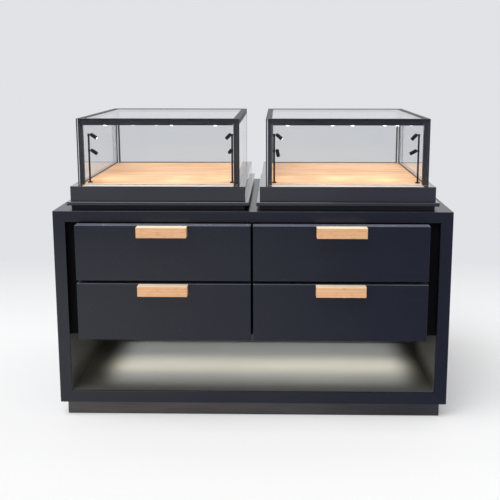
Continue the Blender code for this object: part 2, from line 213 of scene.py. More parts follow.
class Bench:
    """The workbench: each method makes a piece from a primitive, or shapes one in edit mode."""

    @staticmethod
    def take(*pieces: Piece) -> None:
        """Select some pieces alone, and make the first the active one.

        Args:
            pieces: The pieces.
        """
        bpy.ops.object.select_all(action="DESELECT")
        for piece in pieces:
            piece.select_set(True)
        bpy.context.view_layer.objects.active = pieces[0]

    @staticmethod
    def named(name: str) -> Piece:
        """Name the primitive that was just added, and put its place and size into its mesh.

        Args:
            name: The piece's name.

        Returns:
            The piece, with its object at the origin.
        """
        piece = bpy.context.active_object
        piece.name = name
        piece.data.name = name
        bpy.ops.object.transform_apply(location=True, rotation=True, scale=True)
        return piece

    @classmethod
    def block(cls, name: str, span: Span) -> Piece:
        """Add a block that fills a box.

        Args:
            name: The piece's name.
            span: The box.

        Returns:
            The new piece.
        """
        bpy.ops.object.select_all(action="DESELECT")
        bpy.ops.mesh.primitive_cube_add(size=1, location=span.middle, scale=span.size)
        return cls.named(name)

    @classmethod
    @contextmanager
    def editing(cls, piece: Piece, test: Test = every, kind: Pick = Pick.FACE) -> Iterator[None]:
        """Edit a piece with only the faces or edges that pass a test selected.

        Args:
            piece: The piece to edit.
            test: Says whether a face or an edge is wanted.
            kind: Which of the two are picked.

        Yields:
            Nothing, while the piece is in edit mode.
        """
        cls.take(piece)
        bpy.ops.object.mode_set(mode="EDIT")
        bpy.ops.mesh.select_mode(type=kind.name)
        bpy.ops.mesh.select_all(action="DESELECT")
        mesh = bmesh.from_edit_mesh(piece.data)
        for part in getattr(mesh, kind.value):
            if test(part):
                part.select_set(True)
        mesh.select_flush_mode()
        bmesh.update_edit_mesh(piece.data)
        yield
        bpy.ops.object.mode_set(mode="OBJECT")

    @staticmethod
    def drag(by: Vector) -> None:
        """Extrude what is selected, in edit mode, by a vector."""
        bpy.ops.mesh.extrude_region_move(TRANSFORM_OT_translate={"value": by})

    @classmethod
    def ease(cls, piece: Piece, width: float, steps: int = 2, test: Test = every) -> Piece:
        """Round sharp edges of a piece over.

        Args:
            piece: The piece to shape.
            width: How far the rounding reaches from the edge.
            steps: Facets of the rounding.
            test: Says which sharp edges are rounded.

        Returns:
            The same piece.
        """
        with cls.editing(piece, lambda edge: edge.calc_face_angle(0) > SHARP_ANGLE and test(edge), Pick.EDGE):
            bpy.ops.mesh.bevel(offset=width, segments=steps, affect="EDGES", clamp_overlap=True)
        return piece

    @classmethod
    def pull(cls, piece: Piece, test: Test, by: Vector) -> None:
        """Extrude the picked faces by a vector."""
        with cls.editing(piece, test):
            cls.drag(by)

    @classmethod
    def score(cls, piece: Piece, *boxes: Span) -> None:
        """Cut a piece's faces in two in line with the sides of boxes, with nothing taken off.

        Args:
            piece: The piece to shape.
            boxes: The boxes.
        """
        for axis in (Axis.X, Axis.Y):
            for place in sorted(end.dot(axis.vector) for box in boxes for end in (box.low, box.high)):
                with cls.editing(piece):
                    bpy.ops.mesh.bisect(plane_co=axis.vector * place, plane_no=axis.vector)

    @classmethod
    def saw(cls, piece: Piece, place: Vector, waste: Vector) -> None:
        """Saw a piece through a place, drop the side that a direction points to and close the cut."""
        with cls.editing(piece):
            bpy.ops.mesh.bisect(plane_co=place, plane_no=waste, use_fill=True, clear_outer=True)

    @classmethod
    def bore(cls, piece: Piece, hole: Span) -> None:
        """Open a way through a scored piece, from its top to its underside."""
        with cls.editing(piece, looks(UP, DOWN, where=hole.covers)):
            bpy.ops.mesh.bridge_edge_loops()

    @classmethod
    def clean(cls, piece: Piece) -> None:
        """Take out the edges that lie flat in a face."""
        with cls.editing(piece):
            bpy.ops.mesh.dissolve_limited(angle_limit=FLAT_ANGLE)

    @classmethod
    def ring(cls, name: str, span: Span, hole: Span, width: float) -> Piece:
        """Bore a block through, so that a ring is left, and ease its edges.

        Args:
            name: The piece's name.
            span: The box of the ring.
            hole: The box of its opening.
            width: How far the rounding of the edges reaches.

        Returns:
            The new piece.
        """
        ring = cls.block(name, span)
        cls.score(ring, hole)
        cls.bore(ring, hole)
        cls.clean(ring)
        return cls.ease(ring, width)

    @classmethod
    def trough(cls, name: str, span: Span, way: Vector, wall: float, depth: float) -> Piece:
        """Add a block with a trough sunk into one face.

        Args:
            name: The piece's name.
            span: The box of the block.
            way: Where the face looks.
            wall: Width of the border that is left.
            depth: Depth of the trough.

        Returns:
            The new piece.
        """
        piece = cls.block(name, span)
        with cls.editing(piece, looks(way)):
            bpy.ops.mesh.inset(thickness=wall, depth=0, use_individual=True)
            cls.drag(-way * depth)
        return piece

    @classmethod
    def turn(cls, name: str, profile: Profile, sides: int) -> Piece:
        """Turn a profile about the Z axis, as on a lathe.

        Args:
            name: The piece's name.
            profile: Points as (radius, height), from the axis to the axis.
            sides: Facets round the axis.

        Returns:
            The new piece.
        """
        points = [Vector((radius, 0, height)) for radius, height in profile]
        bpy.ops.object.select_all(action="DESELECT")
        bpy.ops.mesh.primitive_plane_add(size=MM, location=points[0])
        piece = cls.named(name)
        with cls.editing(piece):
            bpy.ops.mesh.select_mode(type="VERT")
            bpy.ops.mesh.merge(type="CENTER")
            for start, end in zip(points, points[1:]):
                cls.drag(end - start)
            bpy.ops.mesh.select_all(action="SELECT")
            bpy.ops.mesh.spin(steps=sides, angle=2 * pi, center=(0, 0, 0), axis=UP)
            bpy.ops.mesh.select_all(action="SELECT")
            bpy.ops.mesh.remove_doubles(threshold=WELD)
            bpy.ops.mesh.normals_make_consistent(inside=False)
        cls.smooth(piece)
        return piece

    @classmethod
    def smooth(cls, piece: Piece) -> None:
        """Shade a piece smooth, apart from its sharp edges."""
        cls.take(piece)
        bpy.ops.object.shade_smooth_by_angle(angle=SHARP_ANGLE)

    @classmethod
    def thicken(cls, piece: Piece, wall: float) -> Piece:
        """Give an open sheet a wall on its inner side.

        Args:
            piece: The sheet.
            wall: Its thickness.

        Returns:
            The same piece.
        """
        cls.take(piece)
        modifier = piece.modifiers.new("wall", "SOLIDIFY")
        modifier.thickness = wall
        modifier.offset = -1
        modifier.use_even_offset = True
        bpy.ops.object.modifier_apply(modifier=modifier.name)
        return piece

    @classmethod
    def seat(cls, piece: Piece, place: Vector, aim: Vector) -> Piece:
        """Point a turned piece's axis along a direction, carry it to its place and put that into its mesh.

        Args:
            piece: The piece to move.
            place: Where its origin goes.
            aim: Where its +Z goes.

        Returns:
            The same piece.
        """
        cls.take(piece)
        piece.rotation_euler = facing(aim, "Z")
        piece.location = place
        bpy.ops.object.transform_apply(location=True, rotation=True, scale=True)
        return piece

    @classmethod
    def join(cls, name: str, parts: Sequence[Piece]) -> Piece:
        """Join several parts into one piece.

        Args:
            name: The piece's name.
            parts: The parts, of which the first is kept.

        Returns:
            The joined piece.
        """
        cls.take(*parts)
        bpy.ops.object.join()
        parts[0].name = name
        parts[0].data.name = name
        return parts[0]


def facing(aim: Vector, axis: str = "-Z") -> Euler:
    """How an object is turned so that an axis of it points along a direction."""
    return aim.to_track_quat(axis, "Y").to_euler()


def opaque(colour: Colour) -> tuple[float, float, float, float]:
    """A colour with full alpha, as a socket takes it."""
    return (*colour, 1.0)


@dataclass
class Recipe:
    """A node tree that is being wired, of a material, of the world or of a shared effect."""

    tree: bpy.types.NodeTree

    def add(self, kind: str, wires: Wires, **settings: object) -> Node:
        """Add a node.

        Args:
            kind: The node's type, without the word ShaderNode.
            wires: What goes into its sockets: another node's socket, or a value.
            settings: The node's own properties.

        Returns:
            The new node.
        """
        node = self.tree.nodes.new(f"ShaderNode{kind}")
        for key, value in settings.items():
            setattr(node, key, value)
        self.feed(node, wires)
        return node

    def feed(self, node: Node, wires: Wires) -> None:
        """Link sockets to a node, or set its own values.

        Args:
            node: The node to feed.
            wires: What goes into its sockets, by name or number.
        """
        for key, value in wires.items():
            if isinstance(value, Socket):
                self.tree.links.new(value, node.inputs[key])
            else:
                node.inputs[key].default_value = value

    def place(self) -> Socket:
        """The place on the piece, in metres."""
        return self.add("TexCoord", {}).outputs["Object"]

    def parted(self) -> Sockets:
        """The place on the piece, parted into X, Y and Z."""
        return self.add("SeparateXYZ", {"Vector": self.place()}).outputs

    def mapped(self, place: Socket, **change: Numbers) -> Socket:
        """A place that is moved or scaled along each axis."""
        wires = {key.title(): value for key, value in change.items()}
        return self.add("Mapping", {"Vector": place, **wires}).outputs["Vector"]

    def noise(self, place: Socket, scale: Wire, detail: float) -> Socket:
        """Cloudy noise from 0 to 1."""
        return self.add("TexNoise", {"Vector": place, "Scale": scale, "Detail": detail}).outputs["Fac"]

    def streaks(self, place: Socket, scale: Numbers, detail: float) -> Socket:
        """Noise from 0 to 1 that has its own scale along each axis."""
        return self.noise(self.mapped(place, scale=scale), 1.0, detail)

    def spread(self, value: Socket, source: tuple[float, float], low: Wire = 0.0, high: Wire = 1.0) -> Socket:
        """Map a range of values to another one, whose ends are low and high."""
        wires = {"Value": value, "From Min": source[0], "From Max": source[1], "To Min": low, "To Max": high}
        return self.add("MapRange", wires).outputs["Result"]

    def blend(self, share: Wire, under: Wire, over: Wire) -> Socket:
        """Blend two colours, by the share that the upper one has."""
        return self.add("Mix", {0: share, 6: under, 7: over}, data_type="RGBA").outputs[2]

    def maths(self, how: str, first: Wire, second: Wire) -> Socket:
        """Reckon with two values."""
        return self.add("Math", {0: first, 1: second}, operation=how).outputs["Value"]

    def bump(self, height: Socket, depth: float) -> Socket:
        """A normal from a height that varies over the surface, with its depth in metres."""
        return self.add("Bump", {"Height": height, "Strength": 1.0, "Distance": depth}).outputs["Normal"]

    def send(self, output: str, share: Socket, first: Node, second: Node) -> None:
        """Mix two shaders, by the share that the second one has, and send them to the output."""
        wires = {0: share, 1: first.outputs[0], 2: second.outputs[0]}
        self.feed(self.tree.nodes[output], {"Surface": self.add("MixShader", wires).outputs["Shader"]})

    def seen(self) -> Socket:
        """Find the rays that show the surroundings: straight, in a reflection or through glass.

        Returns:
            1 for such a ray, 0 for one that carries light.
        """
        path = self.add("LightPath", {}).outputs
        either = self.maths("MAXIMUM", path["Is Camera Ray"], path["Is Glossy Ray"])
        return self.maths("MAXIMUM", either, path["Is Transmission Ray"])


# The sockets that the shared effects give and take, with their kinds
SURFACE = {"Colour": "Color", "Roughness": "Float", "Grain": "Float"}
TONES = {"Place": "Vector", "Deep": "Color", "Pale": "Color", "Smooth": "Float", "Rough": "Float"}
SCALES = {"Cloud Scale": "Float", "Grain Scale": "Float"}
WOODS = {"Place": "Vector", "Early": "Color", "Late": "Color", "Blush": "Color", "Pore": "Color"}


@dataclass(frozen=True)
class Effect:
    """A surface effect that several materials share, kept as one node group."""

    name: str
    inputs: dict[str, str]
    wire: Callable[[Recipe, Sockets], Wires]

    def group(self) -> bpy.types.NodeTree:
        """Find the node group, or build it at its first use.

        Returns:
            The node group.
        """
        known = bpy.data.node_groups.get(self.name)
        if known:
            return known
        tree = bpy.data.node_groups.new(self.name, "ShaderNodeTree")
        for way, sockets in (("INPUT", self.inputs), ("OUTPUT", SURFACE)):
            for name, kind in sockets.items():
                tree.interface.new_socket(name=name, in_out=way, socket_type=f"NodeSocket{kind}")
        recipe = Recipe(tree)
        made = self.wire(recipe, tree.nodes.new("NodeGroupInput").outputs)
        recipe.feed(tree.nodes.new("NodeGroupOutput"), made)
        return tree

    def use(self, recipe: Recipe, wires: Wires) -> Sockets:
        """Place the effect in a material, and give the outputs of its node."""
        return recipe.add("Group", wires, node_tree=self.group()).outputs


def toned(recipe: Recipe, given: Sockets, mottle: Socket, grain: Socket) -> Wires:
    """Run a surface from deep and smooth to pale and rough.

    Args:
        recipe: The group's node tree.
        given: The group's inputs.
        mottle: Where on that way the surface is.
        grain: Its fine relief.

    Returns:
        What goes to the group's outputs.
    """
    colour = recipe.blend(mottle, given["Deep"], given["Pale"])
    roughness = recipe.spread(mottle, (0, 1), given["Smooth"], given["Rough"])
    return {"Colour": colour, "Roughness": roughness, "Grain": grain}


def wire_haze(recipe: Recipe, given: Sockets) -> Wires:
    """Wire the haze of a sprayed surface: faint clouds and a fine spray grain.

    Args:
        recipe: The group's node tree.
        given: The group's inputs.

    Returns:
        What goes to the group's outputs.
    """
    clouds = recipe.noise(given["Place"], given["Cloud Scale"], detail=3.0)
    grain = recipe.noise(given["Place"], given["Grain Scale"], detail=1.0)
    return toned(recipe, given, recipe.spread(clouds, (0.3, 0.7)), grain)


def wire_brush(recipe: Recipe, given: Sockets) -> Wires:
    """Wire metal brushed along X: long fine scratches over cloudy patches.

    Args:
        recipe: The group's node tree.
        given: The group's inputs.

    Returns:
        What goes to the group's outputs.
    """
    scratches = recipe.streaks(given["Place"], scale=(9, 1500, 1500), detail=3.0)
    clouds = recipe.streaks(given["Place"], scale=(3, 12, 12), detail=3.0)
    return toned(recipe, given, recipe.spread(recipe.maths("ADD", scratches, clouds), (0.7, 1.3)), scratches)


def wire_oak(recipe: Recipe, given: Sockets) -> Wires:
    """Wire oak with its grain along X: growth rings round a far heart, fibres and short dark pores.

    Args:
        recipe: The group's node tree.
        given: The group's inputs.

    Returns:
        What goes to the group's outputs.
    """
    place = given["Place"]
    waver = recipe.streaks(place, scale=(2.2, 16, 16), detail=3.0)
    swing = recipe.spread(waver, (0, 1), low=-0.013, high=0.013)
    flat = recipe.mapped(place, scale=(0.05, 1, 1))
    moved = recipe.add("VectorMath", {0: flat, 1: swing}, operation="ADD").outputs["Vector"]
    heart = recipe.mapped(moved, location=(0, 0.021, 0.034))
    ring_wires = {"Vector": heart, "Scale": 46, "Distortion": 1.2, "Detail": 2, "Detail Scale": 1.5}
    ring_kind = {"wave_type": "RINGS", "rings_direction": "X", "wave_profile": "SAW"}
    rings = recipe.add("TexWave", ring_wires, **ring_kind).outputs["Fac"]
    fibres = recipe.streaks(place, scale=(7, 380, 380), detail=4.0)
    pores = recipe.spread(recipe.streaks(place, scale=(42, 800, 800), detail=1.0), (0.6, 0.72))
    patches = recipe.streaks(place, scale=(5, 30, 30), detail=2.0)
    ringed = recipe.blend(recipe.spread(rings, (0, 1), high=0.75), given["Early"], given["Late"])
    fibred = recipe.blend(recipe.spread(fibres, (0.35, 0.75), high=0.5), ringed, given["Late"])
    blushed = recipe.blend(recipe.spread(patches, (0.4, 0.7), high=0.7), fibred, given["Blush"])
    return {
        "Colour": recipe.blend(recipe.spread(pores, (0, 1), high=0.55), blushed, given["Pore"]),
        "Roughness": recipe.spread(fibres, (0.3, 0.8), low=0.42, high=0.6),
        "Grain": recipe.spread(pores, (0, 1), low=1.0, high=0.0),
    }


HAZE = Effect("sprayed haze", TONES | SCALES, wire_haze)
BRUSH = Effect("long brush marks", TONES, wire_brush)
OAK = Effect("oak figure", WOODS, wire_oak)


@dataclass(frozen=True)
class Finish:
    """A finish of the cabinet: the name of its material and the record's slot that it belongs to."""

    name: str
    slot: str

    def material(self) -> bpy.types.Material:
        """Find the material, or make it at its first use.

        Returns:
            The material.
        """
        known = bpy.data.materials.get(self.name)
        if known:
            return known
        made = bpy.data.materials.new(self.name)
        made.use_nodes = True
        self.mix(Recipe(made.node_tree), made.node_tree.nodes["Principled BSDF"])
        return made

    def mix(self, recipe: Recipe, shader: Node) -> None:
        """Wire the material's node tree to its Principled shader."""
        raise NotImplementedError


@dataclass(frozen=True, kw_only=True)
class Grained(Finish):
    """A finish whose colour, roughness and fine relief come from a shared effect."""

    grain_depth: float = 0.01 * MM
    gloss: float = 0.5
    metallic: float = 0.0
    coat: float = 0.0
    coat_roughness: float = 0.03

    def effect(self) -> tuple[Effect, Wires]:
        """The shared effect, and its inputs apart from the place."""
        raise NotImplementedError

    def mix(self, recipe: Recipe, shader: Node) -> None:
        """Wire the effect to the shader, and set what is the same all over on the shader itself.

        Args:
            recipe: The material's node tree.
            shader: Its Principled shader.
        """
        effect, wires = self.effect()
        made = effect.use(recipe, {"Place": recipe.place(), **wires})
        recipe.feed(
            shader,
            {
                "Base Color": made["Colour"],
                "Roughness": made["Roughness"],
                "Metallic": self.metallic,
                "Specular IOR Level": self.gloss,
                "Coat Weight": self.coat,
                "Coat Roughness": self.coat_roughness,
                "Normal": recipe.bump(made["Grain"], self.grain_depth),
            },
        )


@dataclass(frozen=True, kw_only=True)
class Brushed(Grained):
    """Metal sheet, brushed along its length."""

    deep: Colour
    pale: Colour
    smooth: float
    rough: float
    grain_depth: float = 0.004 * MM
    metallic: float = 1.0

    def tones(self) -> Wires:
        """The two ends of the surface's tones and roughness."""
        ends = {"Deep": opaque(self.deep), "Pale": opaque(self.pale)}
        return {**ends, "Smooth": self.smooth, "Rough": self.rough}

    def effect(self) -> tuple[Effect, Wires]:
        """The brush marks, and their inputs apart from the place."""
        return BRUSH, self.tones()


@dataclass(frozen=True, kw_only=True)
class Sprayed(Brushed):
    """A sprayed coat or moulded surface, with faint clouds and a fine grain in place of brush marks."""

    grain_depth: float = 0.01 * MM
    metallic: float = 0.0
    coat_roughness: float = 0.1
    cloud_scale: float = 6.0
    grain_scale: float = 900.0

    def effect(self) -> tuple[Effect, Wires]:
        """The haze, and its inputs apart from the place."""
        return HAZE, {**self.tones(), "Cloud Scale": self.cloud_scale, "Grain Scale": self.grain_scale}


@dataclass(frozen=True, kw_only=True)
class Oiled(Grained):
    """Oiled oak, with its grain along the cabinet's width."""

    early: Colour
    late: Colour
    blush: Colour
    pore: Colour
    grain_depth: float = 0.05 * MM
    gloss: float = 0.35

    def effect(self) -> tuple[Effect, Wires]:
        """The oak's figure, and its inputs apart from the place."""
        tones = {"Early": self.early, "Late": self.late, "Blush": self.blush, "Pore": self.pore}
        return OAK, {key: opaque(tone) for key, tone in tones.items()}


@dataclass(frozen=True)
class Clear(Finish):
    """Clear float glass that lets the light of lamps through."""

    tint: Colour
    bend: float

    def mix(self, recipe: Recipe, shader: Node) -> None:
        """Wire the glass, and a clear stand-in for the rays that look for a lamp.

        Args:
            recipe: The material's node tree.
            shader: Its Principled shader.
        """
        tint = opaque(self.tint)
        glass = {"Base Color": tint, "Roughness": 0.0, "IOR": self.bend, "Transmission Weight": 1.0}
        recipe.feed(shader, glass)
        lamp_ray = recipe.add("LightPath", {}).outputs["Is Shadow Ray"]
        recipe.send("Material Output", lamp_ray, shader, recipe.add("BsdfTransparent", {"Color": tint}))


@dataclass(frozen=True)
class Glowing(Finish):
    """A lit lens or diffuser, with a slightly cloudy glow."""

    dim: Colour
    bright: Colour
    strength: float
    cloud_scale: float = 60.0
    roughness: float = 0.4

    def mix(self, recipe: Recipe, shader: Node) -> None:
        """Wire the glow.

        Args:
            recipe: The material's node tree.
            shader: Its Principled shader.
        """
        bright = opaque(self.bright)
        clouds = recipe.noise(recipe.place(), self.cloud_scale, detail=1.0)
        glow = recipe.blend(clouds, opaque(self.dim), bright)
        recipe.feed(shader, {"Base Color": bright, "Roughness": self.roughness})
        recipe.feed(shader, {"Emission Color": glow, "Emission Strength": self.strength})


# The finishes of the cabinet
LACQUER = Sprayed(
    "navy satin lacquer", "lacquer", deep=(0.0075, 0.0092, 0.0170), pale=(0.0095, 0.0112, 0.0195),
    smooth=0.36, rough=0.44, grain_depth=0.004 * MM, gloss=0.0, coat=0.9, coat_roughness=0.22,
)
# Painted highlight: the lit top faces of the drawer fronts, as a paler blue grey layer
TOP_HIGHLIGHT_GREY = Sprayed(
    "blue grey edge lipping", "lacquer", deep=(0.105, 0.113, 0.145), pale=(0.125, 0.133, 0.168),
    smooth=0.45, rough=0.55, grain_depth=0.004 * MM, gloss=0.2,
)
INNER_BOARD = Sprayed(
    "dark matt board", "inner_board", deep=(0.004, 0.004, 0.006), pale=(0.006, 0.006, 0.008),
    smooth=0.6, rough=0.75, cloud_scale=12.0, gloss=0.05,
)
ANTHRACITE = Sprayed(
    "anthracite lacquer", "anthracite", deep=(0.017, 0.017, 0.018), pale=(0.021, 0.021, 0.022),
    smooth=0.22, rough=0.28, grain_depth=0.001 * MM, coat=0.9, coat_roughness=0.05,
)
FOOT_BLACK = Sprayed(
    "black foot paint", "anthracite", deep=(0.038, 0.038, 0.042), pale=(0.048, 0.048, 0.052),
    smooth=0.5, rough=0.6, gloss=0.2,
)
# Painted light: the base top before the front pane, pale where the hood's light shows on it
PAINTED_LIGHT_SATIN = Sprayed(
    "satin sill", "anthracite", deep=(0.57, 0.52, 0.47), pale=(0.60, 0.545, 0.495),
    smooth=0.35, rough=0.45, gloss=0.3,
)
BLACK_STEEL = Sprayed(
    "black powder coat", "black_steel", deep=(0.032, 0.032, 0.033), pale=(0.038, 0.038, 0.039),
    smooth=0.42, rough=0.48, grain_depth=0.002 * MM, gloss=0.25,
)
SPOT_BLACK = Sprayed(
    "matt black spot paint", "black_steel", deep=(0.0025, 0.0025, 0.0030), pale=(0.0035, 0.0035, 0.0040),
    smooth=0.5, rough=0.6, grain_depth=0.002 * MM, gloss=0.1,
)
# Painted highlight and painted light: pale strips for light caught on the left pane's edge, on the back posts
# and at the front pane's foot
PAINTED_HIGHLIGHT_STRIP = Sprayed(
    "pale satin strip", "black_steel", deep=(0.47, 0.53, 0.60), pale=(0.53, 0.59, 0.66),
    smooth=0.35, rough=0.45, gloss=0.4,
)
SEAL_RUBBER = Sprayed(
    "brown seal rubber", "black_steel", deep=(0.030, 0.018, 0.012), pale=(0.045, 0.028, 0.018),
    smooth=0.6, rough=0.7, gloss=0.1,
)
GREY_PLASTIC = Sprayed(
    "grey moulded plastic", "grey_plastic", deep=(0.33, 0.34, 0.35), pale=(0.38, 0.39, 0.40),
    smooth=0.5, rough=0.6, cloud_scale=30.0, grain_scale=2500.0, grain_depth=0.03 * MM,
)
LENS_OFF = Sprayed(
    "unlit lens", "led", deep=(0.010, 0.010, 0.011), pale=(0.014, 0.014, 0.015),
    smooth=0.1, rough=0.16, grain_depth=0.001 * MM,
)
BRONZE = Brushed(
    "brushed dark bronze", "bronze", deep=(0.078, 0.073, 0.070), pale=(0.130, 0.122, 0.116),
    smooth=0.24, rough=0.34,
)
NICHE_STEEL = Brushed(
    "satin niche steel", "bronze", deep=(0.076, 0.075, 0.069), pale=(0.094, 0.093, 0.086),
    smooth=0.38, rough=0.46, metallic=0.0,
)
OILED_OAK = Oiled(
    "oiled oak", "oak", early=(0.95, 0.57, 0.31), late=(0.72, 0.37, 0.165),
    blush=(0.95, 0.54, 0.32), pore=(0.30, 0.13, 0.05),
)
# Painted highlight: the lit tops of the oak handles, as a pale oak layer
HANDLE_TOP_HIGHLIGHT = Oiled(
    "pale sapwood", "oak", early=(0.98, 0.82, 0.61), late=(0.92, 0.72, 0.50),
    blush=(1.0, 0.87, 0.67), pore=(0.70, 0.47, 0.28),
)
# Partly painted light: a second copy of the oak, toned for how brightly the decks' lamps light them, with
# paler blush and pores
DECK_LAMPLIT_OAK = Oiled(
    "pale deck oak", "oak", early=(0.82, 0.465, 0.258), late=(0.62, 0.33, 0.165),
    blush=(0.95, 0.60, 0.345), pore=(0.45, 0.23, 0.11),
)
FLOAT_GLASS = Clear("float glass", "glass", tint=(0.88, 0.888, 0.888), bend=1.3)
NICHE_GLOW = Glowing(
    "warm niche diffuser", "led", dim=(1.0, 0.86, 0.66), bright=(1.0, 0.90, 0.72), strength=9.0
)
LENS_GLOW = Glowing("lit lens", "led", dim=(1.0, 0.93, 0.80), bright=(1.0, 0.97, 0.90), strength=14.0)
LENS_DIM = Glowing("dim lens", "led", dim=(1.0, 0.90, 0.78), bright=(1.0, 0.94, 0.85), strength=2.5)


@dataclass
class Assembly:
    """A sub-assembly of the cabinet, with the body that its pieces ride on."""

    body: str = "cabinet"

    def build(self) -> list[Piece]:
        """Model and fit all pieces, and give them in a list."""
        raise NotImplementedError

    def fit(self, piece: Piece, finish: Finish, *nodes: str) -> Piece:
        """Give a piece its finish and its body, and let it stand for nodes of the frame.

        Args:
            piece: The finished piece.
            finish: Its finish.
            nodes: The nodes that it stands for.

        Returns:
            The same piece.
        """
        self.dress(piece, finish)
        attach(piece, self.body)
        if nodes:
            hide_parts(*nodes)
        return piece

    @staticmethod
    def dress(piece: Piece, finish: Finish) -> Piece:
        """Give a piece, or a node of the frame that is kept as it is, a finish.

        Args:
            piece: The piece.
            finish: Its finish.

        Returns:
            The same piece.
        """
        piece.data.materials.clear()
        piece.data.materials.append(finish.material())
        return piece


# The panels of the frame, with the corners where they are mitred as signs along X and Z
MITRES = {
    "top": ((-1, 1), (1, 1)),
    "bottom": ((-1, -1), (1, -1)),
    "left_side": ((-1, 1), (-1, -1)),
    "right_side": ((1, 1), (1, -1)),
}
# What is kept of the frame's own solids
KEPT = {
    "drawer_shelf": INNER_BOARD,
    "drawer_divider": INNER_BOARD,
    "left_runner_board": INNER_BOARD,
    "right_runner_board": INNER_BOARD,
    "led_driver": GREY_PLASTIC,
}


@dataclass
class Carcass(Assembly):
    """The cabinet's plinth, its mitred frame, its back and its inner boards."""

    panel_ease: float = 0.8 * MM
    plinth_wall: float = 18.0 * MM
    plinth_ease: float = 1.2 * MM

    def build(self) -> list[Piece]:
        """Model the plinth, the frame and the back, and dress the boards inside.

        Returns:
            The finished pieces.
        """
        plinth = Span.of("plinth")
        ring = Bench.ring("plinth_ring", plinth, plinth.drawn_in(self.plinth_wall), self.plinth_ease)
        back = Bench.ease(Bench.block("back_board", Span.of("rear_panel")), self.panel_ease)
        outside = [self.fit(ring, BRONZE, "plinth"), self.fit(back, LACQUER, "rear_panel")]
        inside = [self.dress(frame["nodes"][node], finish) for node, finish in KEPT.items()]
        return outside + [self.panel(place) for place in MITRES] + inside

    def panel(self, place: str) -> Piece:
        """Saw a panel of the frame along its mitres and ease its other edges.

        Args:
            place: Where the panel is in the frame.

        Returns:
            The panel.
        """
        span = Span.of(f"{place}_panel")
        panel = Bench.block(f"{place}_board", span)
        for x, z in MITRES[place]:
            level = Span.of("top_panel" if z > 0 else "bottom_panel")
            slope = Vector((-x * Span.of("right_side_panel").size.x, 0, -z * level.size.z))
            tip = span.corner(x, z)
            waste = slope.cross(BACK)
            Bench.saw(panel, tip, waste if waste.dot(tip - span.middle) > 0 else -waste)
        Bench.ease(panel, self.panel_ease, test=runs(*Axis))
        return self.fit(panel, LACQUER, f"{place}_panel")


@dataclass
class Niche(Assembly):
    """The folded metal sheet that lines the niche, its trim, and the light under the niche's ceiling."""

    sheet: float = 2.0 * MM
    fold_radius: float = 4.0 * MM
    fold_steps: int = 5
    trim: float = 1.0 * MM
    channel_wall: float = 2.0 * MM
    channel_depth: float = 3.0 * MM
    diffuser_gap: float = 0.2 * MM
    diffuser_sink: float = 0.6 * MM

    def build(self) -> list[Piece]:
        """Fold the sheet, open at the front and the top, and its trim, and set the light into its channel.

        Returns:
            The finished pieces.
        """
        span, light = Span.of("niche_liner"), Span.of("niche_led_strip")
        seam, mouth = span.low.y + self.trim, light.low.z
        sheet = self.folded("niche_sheet", span.between(y=(seam, span.high.y)), FRONT, UP)
        trim = self.folded("niche_edge_trim", span.between(y=(span.low.y, seam)), BACK, FRONT, UP)
        channel = Bench.trough("niche_light_channel", light, DOWN, self.channel_wall, self.channel_depth)
        inside = light.drawn_in(self.channel_wall + self.diffuser_gap)
        lit = inside.between(z=(mouth + self.diffuser_sink, mouth + self.channel_depth))
        strip = Bench.ease(Bench.block("niche_light_diffuser", lit), self.diffuser_sink, steps=3)
        metal = [self.fit(sheet, NICHE_STEEL, "niche_liner"), self.fit(trim, LACQUER)]
        return metal + [self.fit(channel, BLACK_STEEL, "niche_led_strip"), self.fit(strip, NICHE_GLOW)]

    def folded(self, name: str, span: Span, *open_sides: Vector) -> Piece:
        """Open a block at some sides, round its folds and give the sheet its thickness.

        Args:
            name: The piece's name.
            span: The box of the block.
            open_sides: Where the open sides look.

        Returns:
            The new piece.
        """
        sheet = Bench.block(name, span)
        with Bench.editing(sheet, looks(*open_sides)):
            bpy.ops.mesh.delete(type="FACE")
        return Bench.thicken(Bench.ease(sheet, self.fold_radius, self.fold_steps), self.sheet)


@dataclass
class Drawer(Assembly):
    """One drawer: its lacquered front, its oak handle and its box."""

    level: Level = Level.UPPER
    side: Side = Side.LEFT
    front_ease: float = 1.0 * MM
    handle_ease: float = 1.2 * MM
    layer: float = 1.0 * MM
    layer_ease: float = MM / 3
    box_wall: float = 12.0 * MM
    box_base: float = 8.0 * MM
    box_ease: float = 0.8 * MM

    def __post_init__(self) -> None:
        """Take the body's name from the drawer's place."""
        self.body = f"{self.level.value}_{self.side.value}_drawer"

    def build(self) -> list[Piece]:
        """Model the front and the handle, each with a paler top layer that is a painted highlight, and the
        hollow box.

        Returns:
            The finished pieces.
        """
        # The front's paler top layer is a painted highlight of the light from above
        front = self.layered("front", self.front_ease, {"facing": LACQUER, "lipping": TOP_HIGHLIGHT_GREY})
        # The handle's pale top layer is a painted highlight of the light from above
        handle = self.layered("handle", self.handle_ease, {"grip": OILED_OAK, "crest": HANDLE_TOP_HIGHLIGHT})
        node = f"{self.body}_box"
        span = Span.of(node)
        box = Bench.trough(f"{self.body}_tray", span, UP, self.box_wall, span.size.z - self.box_base)
        return [*front, *handle, self.fit(Bench.ease(box, self.box_ease), OILED_OAK, node)]

    def layered(self, part: str, width: float, finishes: dict[str, Finish]) -> list[Piece]:
        """Make a block of the drawer with a thin paler layer of another finish as its upper face, a painted
        highlight of the light on its top.

        Args:
            part: The word front or handle.
            width: How far the rounding of the block's edges reaches.
            finishes: What the block and its layer are called, with their finishes.

        Returns:
            The block and the layer.
        """
        node = f"{self.body}_{part}"
        span = Span.of(node)
        seam = span.high.z - self.layer
        lower, upper = (f"{self.body}_{name}" for name in finishes)
        block = Bench.block(lower, span.between(z=(span.low.z, seam)))
        Bench.ease(block, width, steps=3, test=lambda edge: middle_of(edge).z < seam - WELD)
        layer = Bench.block(upper, span.between(z=(seam, span.high.z)))
        Bench.ease(layer, self.layer_ease, test=lambda edge: middle_of(edge).z > seam + WELD)
        under, over = finishes.values()
        return [self.fit(block, under, node), self.fit(layer, over)]


